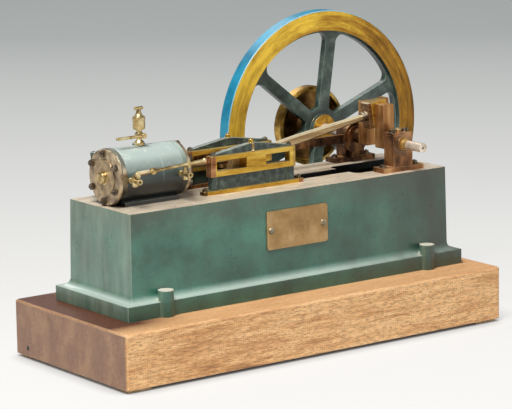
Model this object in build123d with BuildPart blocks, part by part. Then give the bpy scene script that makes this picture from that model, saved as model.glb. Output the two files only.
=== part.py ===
from build123d import *
import os
from math import atan, cos, degrees, radians, sin, sqrt

# A model horizontal mill engine on its wooden plinth, in millimetres.
# X runs along the engine from the cylinder to the crank, Y across it towards the flywheel, Z is up.
# The origin is on the table, under the middle of the bed and on the engine's centre line.

# Plinth
pad_thickness = 3.0
pad_length = 24.0
pad_width = 18.0
plinth_length = 431.0
plinth_width = 185.0
plinth_height = 50.0
plinth_shift_x = -5.0
plinth_shift_y = -4.4
plinth_corner_radius = 4.0
plinth_edge_bevel = 1.5

# Bed casting
bed_length = 362.4
bed_width = 98.6
bed_height = 94.5
bed_draft = 1.2
bed_wall = 6.0
bed_top_thickness = 7.0
flange_length = 385.5
flange_width = 119.6
flange_height = 14.0
cove_radius = 7.5
boss_radius = 7.2
boss_height = 24.0
boss_x = 151.0
boss_y = 58.0
slot_half_width = 10.0
slot_start_x = -40.0
pit_half_width = 22.0
pit_start_x = 95.0
pit_end_x = 177.0
pit_corner_radius = 6.0
plate_length = 70.0
plate_height = 36.0
plate_thickness = 1.4
plate_corner_radius = 3.0
plate_x = 2.0
plate_z_below_top = 34.5
plate_seat_gap = 0.05

# Height of the cylinder and the shaft above the bed
centre_height = 26.0

# Fits and clearances
running_clearance = 0.05
seat_gap = 0.2
side_play = 0.4

# Shaft, crank and wheels
crank_x = 136.5
shaft_diameter = 9.5
shaft_near_end_y = -70.4
shaft_end_diameter = 8.9
shaft_end_length = 24.8
shaft_far_end_y = 116.0
centre_hole_radius = 1.3
centre_hole_depth = 1.5
throw = 25.4
crankpin_diameter = 9.5
web_gap = 13.0
web_thickness = 12.5
web_width = 13.0
web_tail = 7.0
web_head = 10.0
web_bevel = 0.6
web_skin = 2.0
flywheel_near_y = 82.6
flywheel_width = 14.2
flywheel_radius = 116.2
flywheel_rim_depth = 19.8
flywheel_web_thickness = 7.0
flywheel_hub_radius = 13.5
flywheel_hub_length = 17.0
flywheel_hub_proud = 1.0
spoke_width = 12.0
spoke_root_radius = 20.0
spoke_root_fillet = 2.0
spoke_rim_fillet = 8.0
spoke_angle = 21.5
spoke_pairs = 3
web_land = 2.0
wheel_edge_bevel = 0.7
pulley_gap = 0.5
pulley_radius = 39.5
pulley_rim_width = 11.0
pulley_rim_depth = 4.5
pulley_setback = 2.0
pulley_web_thickness = 4.0
pulley_hub_nose_radius = 7.0
pulley_hub_base_radius = 14.0

# Eccentric
eccentric_throw = 5.0
eccentric_angle = 110.0
eccentric_y = 28.0
sheave_radius = 11.3
sheave_width = 6.6
sheave_hub_radius = 7.6
sheave_hub_length = 3.2
strap_wall = 3.4
strap_width = 5.6
strap_lug_reach = 4.2
strap_lug_width = 4.6
eccentric_rod_x = -70.0
eccentric_rod_thickness = 4.0
eccentric_rod_depth = 9.0
eccentric_rod_tip_depth = 4.4
eccentric_eye_radius = 4.0
fork_cheek = 1.8
fork_height = 6.0
valve_pin_radius = 1.5
open_eye_clearance = 0.55

# Crankshaft bearings
pedestal_base_length = 48.0
pedestal_base_height = 4.5
pedestal_depth = 17.0
pedestal_block_length = 23.0
pedestal_block_depth = 14.5
pedestal_block_height = 32.4
pedestal_fillet = 1.6
pedestal_near_y = -42.0
pedestal_far_y = 49.1
cap_thickness = 2.4
bush_radius = 7.0
bush_proud = 1.6
pedestal_bolt_spacing = 39.0
pedestal_nut_size = 4.2
pedestal_nut_height = 2.4
cap_nut_spacing = 16.0
oil_cup_radius = 2.8

# Connecting rod and crosshead
crosshead_x = -22.5
rod_thickness = 6.4
rod_depth_small_end = 7.4
rod_depth_middle = 8.6
rod_depth_neck = 5.4
rod_bevel = 1.2
rod_belly_share = 0.6
rod_collar_radius = 4.6
rod_collar_width = 2.2
rod_collar_spacing = 3.5
palm_thickness = 4.0
palm_reach = 12.5
palm_width = 11.4
brass_length = 18.0
brass_height = 24.0
brass_width = 12.2
big_end_cap_thickness = 3.6
big_end_cap_overhang = 1.0
big_end_bolt_radius = 1.5
big_end_bolt_offset = 7.6
big_end_nut_size = 4.0
big_end_nut_height = 2.4
gudgeon_radius = 2.6
small_end_clearance = 1.75
small_end_wall = 2.2
crosshead_length = 29.0
crosshead_width = 20.0
crosshead_height = 17.0
crosshead_corner_radius = 2.0
slipper_length = 22.0
slipper_setback = 0.3
gudgeon_to_boss = 10.0
piston_rod_diameter = 6.3

# Crosshead guides
guide_inner_y = 14.4
guide_width = 8.0
foot_bar_start_x = -82.0
foot_bar_end_x = 31.5
foot_bar_height = 3.6
slide_start_x = -74.0
slide_end_x = 22.0
slide_gap = 9.6
slide_bar_height = 4.8
end_block_length = 6.4
guide_column_length = 7.0
guide_column_setback = 1.0
guide_column_round = 1.4
guide_bevel = 0.6
guide_panel_thickness = 4.0
truss_start_x = -66.0
truss_end_x = 14.0
truss_rise = 7.4
truss_end_rise = 1.8
truss_crown_length = 9.0
truss_thickness = 6.0
truss_foot_length = 10.0
truss_bolt_offset = 3.0
guide_nut_size = 4.2
guide_nut_height = 2.4
guide_stud_inset = 3.4

# Cylinder
cylinder_start_x = -175.0
cylinder_end_x = -97.5
bore_radius = 15.9
barrel_radius = 20.0
lagging_depth = 5.0
cylinder_flange_proud = 0.8
cylinder_flange_thickness = 4.6
cover_thickness = 3.2
outer_cover_setback = 0.5
cover_step_radius = 16.5
cover_step_height = 1.2
cover_boss_radius = 4.4
cover_boss_height = 5.2
cover_boss_bevel = 0.5
cover_bolt_setback = 4.3
cover_nut_size = 4.6
cover_nut_height = 3.2
foot_length = 58.0
foot_width = 36.0
foot_thickness = 3.6
gland_radius = 7.4
gland_thickness = 2.6
gland_nose = 1.8
stuffing_box_reach = 5.0
gland_stud_offset = 8.6
piston_length = 11.0

# Valve chest, on the flywheel side of the cylinder
port_face_proud = 0.3
chest_depth = 15.5
chest_wall = 3.4
chest_end_gap = 2.95
chest_height = 33.0
chest_cover_thickness = 3.4
chest_nut_inset = 2.4
steam_inlet_radius = 3.2
steam_boss_radius = 6.0
steam_boss_height = 5.0
steam_boss_x = -119.0
valve_rod_diameter = 3.2
valve_gland_radius = 4.6
valve_gland_reach = 7.0

# Lubricator on top of the cylinder
lubricator_x = -137.0
lubricator_base_radius = 4.6
lubricator_ball_radius = 4.4
lubricator_ball_height = 9.4
lubricator_neck_radius = 2.7
lubricator_cup_gap = 0.7
lubricator_cup_radius = 5.6
lubricator_stem_radius = 1.5
lubricator_stem_length = 3.0
lubricator_cup_height = 11.0
lubricator_rim_height = 2.4
lubricator_bell_radius = 2.6
thumb_length = 8.0
thumb_height = 3.0
tap_clearance = 0.6
tap_plug_radius = 1.9
tap_head_height = 3.0
tap_lever_length = 29.5
tap_lever_radius = 1.4
tap_end_round = 1.2

# Cylinder drain cocks
left_cock_x = -163.6
right_cock_x = -109.0
cock_z_below_axis = 0.5
cock_reach = 15.0
cock_body_radius = 3.1
cock_stem_radius = 2.6
cock_nozzle_radius = 2.7
cock_nozzle_bore = 1.2
cock_plug_radius = 1.7
cock_plug_reach = 6.5
cock_wall = 1.8
cock_nozzle_length = 3.0
cock_lever_length = 6.0
cock_lever_width = 3.6
cock_lever_thickness = 1.4
drain_pin_radius = 0.9
drain_rod_rise = 3.2
drain_rod_radius = 1.0
drain_grip_radius = 1.6
drain_eye_radius = 2.1
drain_rod_overhang = 17.0
drain_grip_overhang = 3.0
drain_collar_radius = 2.8
drain_collar_length = 4.0
drain_collar_x = -148.0

# Heights and radii that follow from the values above
plinth_top = pad_thickness + plinth_height
bed_top = plinth_top + bed_height
axis_z = bed_top + centre_height
shaft_radius = shaft_diameter / 2
crankpin_radius = crankpin_diameter / 2
pin_z = axis_z + throw
cleading_radius = barrel_radius + lagging_depth
cylinder_flange_radius = cleading_radius + cylinder_flange_proud
outer_cover_radius = cylinder_flange_radius - outer_cover_setback
cover_bolt_radius = cylinder_flange_radius - cover_bolt_setback
port_face_y = barrel_radius + port_face_proud
shaft_axis = Axis((crank_x, 0, axis_z), (0, 1, 0))


def across(y, x=0.0, z=0.0):
    """A plane that looks along +Y, with its first axis along X and its second upwards."""
    return Plane(origin=(x, y, z), x_dir=(1, 0, 0), z_dir=(0, -1, 0))


def along(x, y=0.0, z=0.0):
    """A plane that looks along -X, with its first axis along Y and its second upwards."""
    return Plane(origin=(x, y, z), x_dir=(0, 1, 0), z_dir=(1, 0, 0))


def level(z, x=0.0, y=0.0):
    """A level plane at height z."""
    return Plane(origin=(x, y, z), x_dir=(1, 0, 0), z_dir=(0, 0, 1))


# Plinth with its four foot pads
with BuildPart() as plinth:
    with BuildSketch(level(pad_thickness, plinth_shift_x, plinth_shift_y)):
        RectangleRounded(plinth_length, plinth_width, plinth_corner_radius)
    extrude(amount=plinth_height)
    chamfer(plinth.faces().sort_by(Axis.Z)[-1].edges(), length=plinth_edge_bevel)

pad_spacing_x = plinth_length - pad_length - 2 * plinth_corner_radius
pad_spacing_y = plinth_width - pad_width - 2 * plinth_corner_radius
with BuildPart() as plinth_pads:
    with BuildSketch(level(0, plinth_shift_x, plinth_shift_y)):
        with GridLocations(pad_spacing_x, pad_spacing_y, 2, 2):
            Rectangle(pad_length, pad_width)
    extrude(amount=pad_thickness)

# Bed: a hollow box casting with a foot flange, a cove above it and four bosses
body_base_z = plinth_top + flange_height
body_height = bed_height - flange_height
draft_angle = degrees(atan(bed_draft / body_height))
slot_end_x = (pit_start_x + pit_end_x) / 2
with BuildPart() as bed:
    with BuildSketch(level(plinth_top)):
        Rectangle(flange_length, flange_width)
    extrude(amount=flange_height)
    with BuildSketch(level(body_base_z)):
        Rectangle(bed_length + 2 * bed_draft, bed_width + 2 * bed_draft)
    extrude(amount=body_height, taper=draft_angle)
    foot_of_body = bed.edges().filter_by_position(Axis.Z, body_base_z, body_base_z)
    foot_reach_x = bed_length / 2 + cove_radius
    foot_reach_y = bed_width / 2 + cove_radius
    foot_of_body = foot_of_body.filter_by_position(Axis.X, -foot_reach_x, foot_reach_x)
    foot_of_body = foot_of_body.filter_by_position(Axis.Y, -foot_reach_y, foot_reach_y)
    fillet(foot_of_body, radius=cove_radius)
    with BuildSketch(level(plinth_top)):
        with GridLocations(2 * boss_x, 2 * boss_y, 2, 2):
            Circle(boss_radius)
    extrude(amount=boss_height)
    with BuildSketch(level(plinth_top)):
        Rectangle(bed_length - 2 * bed_wall, bed_width - 2 * bed_wall)
    extrude(amount=bed_height - bed_top_thickness, mode=Mode.SUBTRACT)
    with BuildSketch(level(bed_top, (slot_start_x + slot_end_x) / 2)):
        Rectangle(slot_end_x - slot_start_x, 2 * slot_half_width)
    extrude(amount=-bed_top_thickness, mode=Mode.SUBTRACT)
    with BuildSketch(level(bed_top, (pit_start_x + pit_end_x) / 2)):
        RectangleRounded(pit_end_x - pit_start_x, 2 * pit_half_width, pit_corner_radius)
    extrude(amount=-bed_top_thickness, mode=Mode.SUBTRACT)

# Name plate, left bare, lying on the sloping side of the bed
plate_z = bed_top - plate_z_below_top
plate_y = -(bed_width / 2 + bed_draft * plate_z_below_top / body_height + plate_seat_gap)
plate_facing = (0, -1, sin(radians(draft_angle)))
plate_plane = Plane(origin=(plate_x, plate_y, plate_z), x_dir=(1, 0, 0), z_dir=plate_facing)
with BuildPart() as name_plate:
    with BuildSketch(plate_plane):
        RectangleRounded(plate_length, plate_height, plate_corner_radius)
    extrude(amount=plate_thickness)

# Cylinder casting: bored barrel, two flanges, a foot and the flat port face
cover_face_start = cylinder_start_x + cover_thickness
cover_face_end = cylinder_end_x - cover_thickness
cylinder_mid_x = (cover_face_start + cover_face_end) / 2
barrel_start = cover_face_start + cylinder_flange_thickness
barrel_end = cover_face_end - cylinder_flange_thickness
chest_length = barrel_end - barrel_start - 2 * chest_end_gap
port_block_height = chest_height - chest_wall
valve_rod_y = eccentric_y
with BuildPart() as cylinder:
    with BuildSketch(along(cover_face_start, 0, axis_z)):
        Circle(barrel_radius)
    extrude(amount=cover_face_end - cover_face_start)
    with BuildSketch(along(cover_face_start, 0, axis_z)):
        Circle(cylinder_flange_radius)
    extrude(amount=cylinder_flange_thickness)
    with BuildSketch(along(barrel_end, 0, axis_z)):
        Circle(cleading_radius)
    extrude(amount=cylinder_flange_thickness)
    with BuildSketch(level(bed_top, cylinder_mid_x)):
        Rectangle(foot_length, foot_width)
    extrude(amount=foot_thickness)
    with BuildSketch(level(bed_top, cylinder_mid_x)):
        Rectangle(foot_length - 2 * foot_thickness, barrel_radius)
    extrude(amount=centre_height - (bore_radius + barrel_radius) / 2)
    with BuildSketch(along(cylinder_mid_x - chest_length / 2, port_face_y / 2, axis_z)):
        Rectangle(port_face_y, port_block_height)
    extrude(amount=chest_length)
    with BuildSketch(along(barrel_end, valve_rod_y, axis_z)):
        Circle(valve_gland_radius + seat_gap)
    extrude(amount=cylinder_flange_thickness, mode=Mode.SUBTRACT)
    with BuildSketch(along(cover_face_start, 0, axis_z)):
        Circle(bore_radius)
    extrude(amount=cover_face_end - cover_face_start, mode=Mode.SUBTRACT)

# Sheet cleading round the barrel, open at the foot and at the valve chest
cleading_lift = cleading_radius - centre_height + foot_thickness + 2 * side_play
with BuildPart() as cylinder_cleading:
    with BuildSketch(along(barrel_start + seat_gap, 0, axis_z)):
        Circle(cleading_radius)
        Circle(barrel_radius + seat_gap, mode=Mode.SUBTRACT)
        with Locations((0, -cleading_radius)):
            Rectangle(foot_width + 2 * side_play, 2 * cleading_lift, mode=Mode.SUBTRACT)
        with Locations((port_face_y, 0)):
            Rectangle(port_face_y, chest_height + 2 * side_play, mode=Mode.SUBTRACT)
        with Locations((0, -barrel_radius)):
            Rectangle(barrel_radius + 2 * seat_gap, barrel_radius, mode=Mode.SUBTRACT)
    extrude(amount=barrel_end - barrel_start - 2 * seat_gap)

# Outer cover: a stepped disc with a centre boss
with BuildPart() as outer_cover:
    with BuildSketch(along(cylinder_start_x, 0, axis_z)):
        Circle(outer_cover_radius)
    extrude(amount=cover_thickness)
    with BuildSketch(along(cylinder_start_x, 0, axis_z)):
        Circle(cover_step_radius)
    extrude(amount=-cover_step_height)
    with BuildSketch(along(cylinder_start_x, 0, axis_z)):
        Circle(cover_boss_radius)
    extrude(amount=-cover_boss_height)
    chamfer(outer_cover.faces().sort_by(Axis.X)[0].edges(), length=cover_boss_bevel)

with BuildPart() as outer_cover_nuts:
    with BuildSketch(along(cylinder_start_x, 0, axis_z)):
        with PolarLocations(cover_bolt_radius, 6, start_angle=90):
            RegularPolygon(cover_nut_size / 2, 6, major_radius=False)
    extrude(amount=-cover_nut_height)

# Inner cover with the stuffing box for the piston rod
gland_start_x = cylinder_end_x + stuffing_box_reach
with BuildPart() as inner_cover:
    with BuildSketch(along(cover_face_end, 0, axis_z)):
        Circle(cleading_radius - side_play)
    extrude(amount=cover_thickness)
    with BuildSketch(along(cylinder_end_x, 0, axis_z)):
        Circle(gland_radius + gland_nose)
    extrude(amount=gland_start_x - cylinder_end_x)
    with BuildSketch(along(cylinder_end_x, 0, axis_z)):
        with PolarLocations(cover_bolt_radius, 6, start_angle=90):
            RegularPolygon(cover_nut_size / 2, 6, major_radius=False)
    extrude(amount=cover_nut_height)
    with BuildSketch(along(cover_face_end, 0, axis_z)):
        Circle(piston_rod_diameter / 2 + running_clearance)
    extrude(amount=gland_start_x - cover_face_end, mode=Mode.SUBTRACT)

with BuildPart() as piston_rod_gland:
    with BuildSketch(along(gland_start_x, 0, axis_z)):
        with Locations((-gland_stud_offset, 0), (gland_stud_offset, 0)):
            Circle(gland_radius / 2)
        Rectangle(2 * gland_stud_offset, gland_radius)
        Circle(gland_radius)
    extrude(amount=gland_thickness)
    with BuildSketch(along(gland_start_x, 0, axis_z)):
        Circle(gland_radius - gland_nose)
    extrude(amount=gland_thickness + gland_nose)
    with BuildSketch(along(gland_start_x + gland_thickness, 0, axis_z)):
        with Locations((-gland_stud_offset, 0), (gland_stud_offset, 0)):
            RegularPolygon(guide_nut_size / 2, 6, major_radius=False)
    extrude(amount=guide_nut_height)
    with BuildSketch(along(gland_start_x, 0, axis_z)):
        Circle(piston_rod_diameter / 2 + running_clearance)
    extrude(amount=gland_thickness + gland_nose, mode=Mode.SUBTRACT)

# Valve chest: an open frame bolted to the port face, with its own gland and steam inlet
chest_start_x = cylinder_mid_x - chest_length / 2
chest_end_x = cylinder_mid_x + chest_length / 2
chest_mid_y = port_face_y + chest_depth / 2
chest_top_z = axis_z + chest_height / 2
steam_boss_y = chest_mid_y
with BuildPart() as valve_chest:
    with BuildSketch(across(port_face_y, cylinder_mid_x, axis_z)):
        Rectangle(chest_length, chest_height)
        Rectangle(chest_length - 2 * chest_wall, chest_height - 2 * chest_wall, mode=Mode.SUBTRACT)
    extrude(amount=-chest_depth)
    with BuildSketch(along(chest_end_x, valve_rod_y, axis_z)):
        Circle(valve_gland_radius)
    extrude(amount=valve_gland_reach)
    with BuildSketch(level(chest_top_z, steam_boss_x, steam_boss_y)):
        Circle(steam_boss_radius)
    extrude(amount=steam_boss_height)
    with BuildSketch(level(chest_top_z - chest_wall, steam_boss_x, steam_boss_y)):
        Circle(steam_inlet_radius)
    extrude(amount=chest_wall + steam_boss_height, mode=Mode.SUBTRACT)
    with BuildSketch(along(chest_end_x - chest_wall, valve_rod_y, axis_z)):
        Circle(valve_rod_diameter / 2 + running_clearance)
    extrude(amount=chest_wall + valve_gland_reach, mode=Mode.SUBTRACT)

chest_cover_y = port_face_y + chest_depth
with BuildPart() as valve_chest_cover:
    with BuildSketch(across(chest_cover_y, cylinder_mid_x, axis_z)):
        Rectangle(chest_length, chest_height)
    extrude(amount=-chest_cover_thickness)
    with BuildSketch(across(chest_cover_y + chest_cover_thickness, cylinder_mid_x, axis_z)):
        Rectangle(chest_length - 4 * chest_wall, chest_height - 4 * chest_wall)
    extrude(amount=-cover_step_height)
    with BuildSketch(across(chest_cover_y + chest_cover_thickness, cylinder_mid_x, axis_z)):
        with GridLocations((chest_length - 2 * chest_wall) / 2, chest_height - 2 * chest_nut_inset, 3, 2):
            RegularPolygon(guide_nut_size / 2, 6, major_radius=False)
    extrude(amount=-guide_nut_height)

# Lubricator: base, ball with the tap in it, cup, bell and thumb piece
cup_top_z = axis_z + cleading_radius
ball_z = cup_top_z + lubricator_ball_height
cup_base_z = ball_z + lubricator_ball_radius + lubricator_cup_gap
lid_z = cup_base_z + lubricator_cup_height
bell_top_z = lid_z + 2 * lubricator_bell_radius
thumb_z = bell_top_z + lubricator_stem_length
with BuildPart() as lubricator_body:
    with BuildSketch(across(0, lubricator_x)):
        with BuildLine():
            Polyline(
                (0, cup_top_z),
                (lubricator_base_radius, cup_top_z),
                (lubricator_base_radius, cup_top_z + lubricator_neck_radius),
                (lubricator_neck_radius, ball_z - lubricator_ball_radius),
                (lubricator_neck_radius, ball_z - lubricator_neck_radius),
            )
            RadiusArc(
                (lubricator_neck_radius, ball_z - lubricator_neck_radius),
                (lubricator_neck_radius, ball_z + lubricator_neck_radius),
                -lubricator_ball_radius,
            )
            Polyline(
                (lubricator_neck_radius, ball_z + lubricator_neck_radius),
                (lubricator_neck_radius, cup_base_z),
                (lubricator_cup_radius - tap_clearance, cup_base_z),
                (lubricator_cup_radius - tap_clearance, lid_z - lubricator_rim_height),
                (lubricator_cup_radius, lid_z - lubricator_rim_height),
                (lubricator_cup_radius, lid_z),
                (lubricator_bell_radius, lid_z),
                (lubricator_stem_radius, bell_top_z),
                (lubricator_stem_radius, thumb_z),
                (0, thumb_z),
                (0, cup_top_z),
            )
        make_face()
    revolve(axis=Axis((lubricator_x, 0, 0), (0, 0, 1)))
    with BuildSketch(along(lubricator_x - thumb_length / 2, 0, thumb_z)):
        SlotOverall(2 * lubricator_stem_radius + side_play, thumb_height)
    extrude(amount=thumb_length)
    with BuildSketch(across(-2 * lubricator_ball_radius, lubricator_x, ball_z)):
        Circle(tap_plug_radius + running_clearance)
    extrude(amount=-4 * lubricator_ball_radius, mode=Mode.SUBTRACT)

# The tap's lever swings up beside the cup and clears it
tap_lever_y = -lubricator_cup_radius - tap_clearance - tap_lever_radius
tap_head_y = tap_lever_y + tap_head_height / 2
with BuildPart() as lubricator_tap:
    with BuildSketch(across(tap_head_y, lubricator_x, ball_z)):
        Circle(tap_plug_radius)
    extrude(amount=tap_head_y - lubricator_ball_radius)
    with BuildSketch(across(tap_head_y, lubricator_x, ball_z)):
        Circle(tap_plug_radius + tap_clearance)
    extrude(amount=tap_head_height)
    with BuildSketch(along(lubricator_x - tap_lever_length, tap_lever_y, ball_z)):
        Circle(tap_lever_radius)
    extrude(amount=tap_lever_length)
    fillet(lubricator_tap.edges().sort_by(Axis.X)[0], radius=tap_end_round)

# Drain cocks on the near side of the cylinder
cock_z = axis_z - cock_z_below_axis
cock_root_y = -sqrt(cleading_radius**2 - cock_z_below_axis**2) - seat_gap
cock_plug_y = -cleading_radius - cock_plug_reach
cock_end_y = -cleading_radius - cock_reach
cock_foot_z = cock_z - cock_body_radius - cock_wall
cocks = {}
for cock_name, cock_x in (("left_drain_cock", left_cock_x), ("right_drain_cock", right_cock_x)):
    with BuildPart() as cock:
        with BuildSketch(across(cock_root_y, cock_x, cock_z)):
            Circle(cock_stem_radius)
        extrude(amount=cock_root_y - cock_end_y - cock_nozzle_length)
        with BuildSketch(across(cock_root_y, cock_x, cock_z)):
            Circle(cock_body_radius)
        extrude(amount=cock_wall)
        with BuildSketch(level(cock_foot_z, cock_x, cock_plug_y)):
            Circle(cock_body_radius - side_play)
        extrude(amount=2 * cock_body_radius + cock_wall)
        with BuildSketch(across(cock_end_y + cock_nozzle_length, cock_x, cock_z)):
            Circle(cock_nozzle_radius)
        extrude(amount=cock_nozzle_length)
        with BuildSketch(across(cock_plug_y, cock_x, cock_z)):
            Circle(cock_nozzle_bore)
        extrude(amount=cock_reach, mode=Mode.SUBTRACT)
        with BuildSketch(level(cock_foot_z, cock_x, cock_plug_y)):
            Circle(cock_plug_radius + running_clearance)
        extrude(amount=2 * cock_body_radius + cock_wall, mode=Mode.SUBTRACT)
    cocks[cock_name] = cock

# Cock levers, the right one higher, joined by the sloping drain rod so that both cocks open together
lever_z = cock_z + cock_body_radius + side_play
rod_pin_y = cock_plug_y - cock_lever_length
drain_rod_z = lever_z + cock_lever_thickness + seat_gap + drain_eye_radius
plug_foot_z = cock_foot_z - side_play
cock_spacing = right_cock_x - left_cock_x
drain_slope = drain_rod_rise / cock_spacing
levers = {}
for lever_name, lever_x, lever_rise in (
    ("left_cock_lever", left_cock_x, 0.0),
    ("right_cock_lever", right_cock_x, drain_rod_rise),
):
    with BuildPart() as lever:
        with BuildSketch(level(plug_foot_z, lever_x, cock_plug_y)):
            Circle(cock_plug_radius)
        extrude(amount=lever_z + lever_rise - plug_foot_z)
        with BuildSketch(level(lever_z + lever_rise, lever_x, cock_plug_y - cock_lever_length / 2)):
            SlotCenterToCenter(cock_lever_length, cock_lever_width, rotation=90)
        extrude(amount=cock_lever_thickness)
        with BuildSketch(level(lever_z + lever_rise, lever_x, rod_pin_y)):
            Circle(drain_pin_radius)
        extrude(amount=cock_lever_thickness + 2 * drain_eye_radius + 2 * seat_gap)
    levers[lever_name] = lever


def along_drain_rod(x):
    """A plane square to the sloping drain rod at x."""
    rod_point = (x, rod_pin_y, drain_rod_z + drain_slope * (x - left_cock_x))
    return Plane(origin=rod_point, x_dir=(0, 1, 0), z_dir=(1, 0, drain_slope))


with BuildPart() as drain_rod:
    with BuildSketch(along_drain_rod(drain_collar_x)):
        Circle(drain_rod_radius)
    extrude(amount=right_cock_x + drain_rod_overhang - drain_collar_x)
    with BuildSketch(along_drain_rod(left_cock_x - drain_grip_overhang)):
        Circle(drain_grip_radius)
    extrude(amount=drain_collar_x - left_cock_x + drain_grip_overhang)
    with BuildSketch(along_drain_rod(drain_collar_x - drain_collar_length / 2)):
        Circle(drain_collar_radius)
    extrude(amount=drain_collar_length)
    for eye_x, eye_rise in ((left_cock_x, 0.0), (right_cock_x, drain_rod_rise)):
        with BuildSketch(level(drain_rod_z + eye_rise - drain_eye_radius, eye_x, rod_pin_y)):
            Circle(drain_eye_radius)
        extrude(amount=2 * drain_eye_radius)
        with BuildSketch(level(drain_rod_z + eye_rise - drain_eye_radius, eye_x, rod_pin_y)):
            Circle(drain_pin_radius + running_clearance)
        extrude(amount=2 * drain_eye_radius, mode=Mode.SUBTRACT)
    with Locations(along_drain_rod(right_cock_x + drain_rod_overhang)):
        Sphere(drain_eye_radius)

# Crosshead guides, one each side: foot bar, green base, slide bars and trussed stiffener
slide_mid_x = (slide_start_x + slide_end_x) / 2
slide_length = slide_end_x - slide_start_x
foot_bar_mid_x = (foot_bar_start_x + foot_bar_end_x) / 2
lower_bar_z = axis_z - slide_gap / 2 - slide_bar_height
upper_bar_top_z = axis_z + slide_gap / 2 + slide_bar_height
foot_bar_top_z = bed_top + foot_bar_height
truss_mid_x = (truss_start_x + truss_end_x) / 2
truss_top_z = upper_bar_top_z + truss_rise
truss_half_length = (truss_end_x - truss_start_x) / 2
column_inset = guide_column_length / 2 + guide_column_setback
guides = {}
for side_name, side in (("near", -1), ("far", 1)):
    guide_near_y = side * (guide_inner_y + guide_width / 2) - guide_width / 2
    guide_mid_y = guide_near_y + guide_width / 2
    with BuildPart() as foot_bar:
        with BuildSketch(level(bed_top, foot_bar_mid_x, guide_mid_y)):
            Rectangle(foot_bar_end_x - foot_bar_start_x, guide_width)
        extrude(amount=foot_bar_height)
        chamfer(foot_bar.edges().filter_by(Axis.Z), length=guide_bevel)
        with BuildSketch(level(foot_bar_top_z, foot_bar_mid_x, guide_mid_y)):
            with GridLocations(foot_bar_end_x - foot_bar_start_x - 2 * guide_stud_inset, 0, 2, 1):
                RegularPolygon(guide_nut_size / 2, 6, major_radius=False)
        extrude(amount=guide_nut_height)
    with BuildPart() as guide_base:
        with BuildSketch(level(foot_bar_top_z, slide_mid_x, guide_mid_y)):
            Rectangle(slide_length - 2 * guide_column_setback, guide_panel_thickness)
            with GridLocations(slide_length - 2 * column_inset, 0, 2, 1):
                RectangleRounded(guide_column_length, guide_width - guide_bevel, guide_column_round)
        extrude(amount=lower_bar_z - foot_bar_top_z)
    with BuildPart() as slide_bars:
        with BuildSketch(across(guide_near_y, slide_mid_x, axis_z)):
            Rectangle(slide_length, slide_gap + 2 * slide_bar_height)
            Rectangle(slide_length - 2 * end_block_length, slide_gap, mode=Mode.SUBTRACT)
        extrude(amount=-guide_width)
        chamfer(slide_bars.edges().filter_by(Axis.X).group_by(Axis.Z)[-1], length=guide_bevel)
    with BuildPart() as truss:
        with BuildSketch(across(guide_mid_y - truss_thickness / 2, truss_mid_x)):
            with BuildLine():
                Polyline(
                    (-truss_half_length, upper_bar_top_z),
                    (-truss_half_length, upper_bar_top_z + truss_end_rise),
                    (-truss_crown_length / 2, truss_top_z),
                    (truss_crown_length / 2, truss_top_z),
                    (truss_half_length, upper_bar_top_z + truss_end_rise),
                    (truss_half_length, upper_bar_top_z),
                    close=True,
                )
            make_face()
        extrude(amount=-truss_thickness)
        with BuildSketch(level(upper_bar_top_z, truss_mid_x, guide_mid_y)):
            with GridLocations(2 * truss_half_length - truss_foot_length / 2, 0, 2, 1):
                Rectangle(truss_foot_length, truss_thickness)
            with GridLocations(2 * (truss_half_length + truss_bolt_offset), 0, 2, 1):
                RegularPolygon(guide_nut_size / 2, 6, major_radius=False)
        extrude(amount=truss_end_rise)
        with BuildSketch(level(truss_top_z, truss_mid_x, guide_mid_y)):
            RegularPolygon(guide_nut_size / 2, 6, major_radius=False)
        extrude(amount=guide_nut_height)
    guides[f"{side_name}_foot_bar"] = foot_bar
    guides[f"{side_name}_guide_base"] = guide_base
    guides[f"{side_name}_slide_bars"] = slide_bars
    guides[f"{side_name}_guide_truss"] = truss

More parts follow.
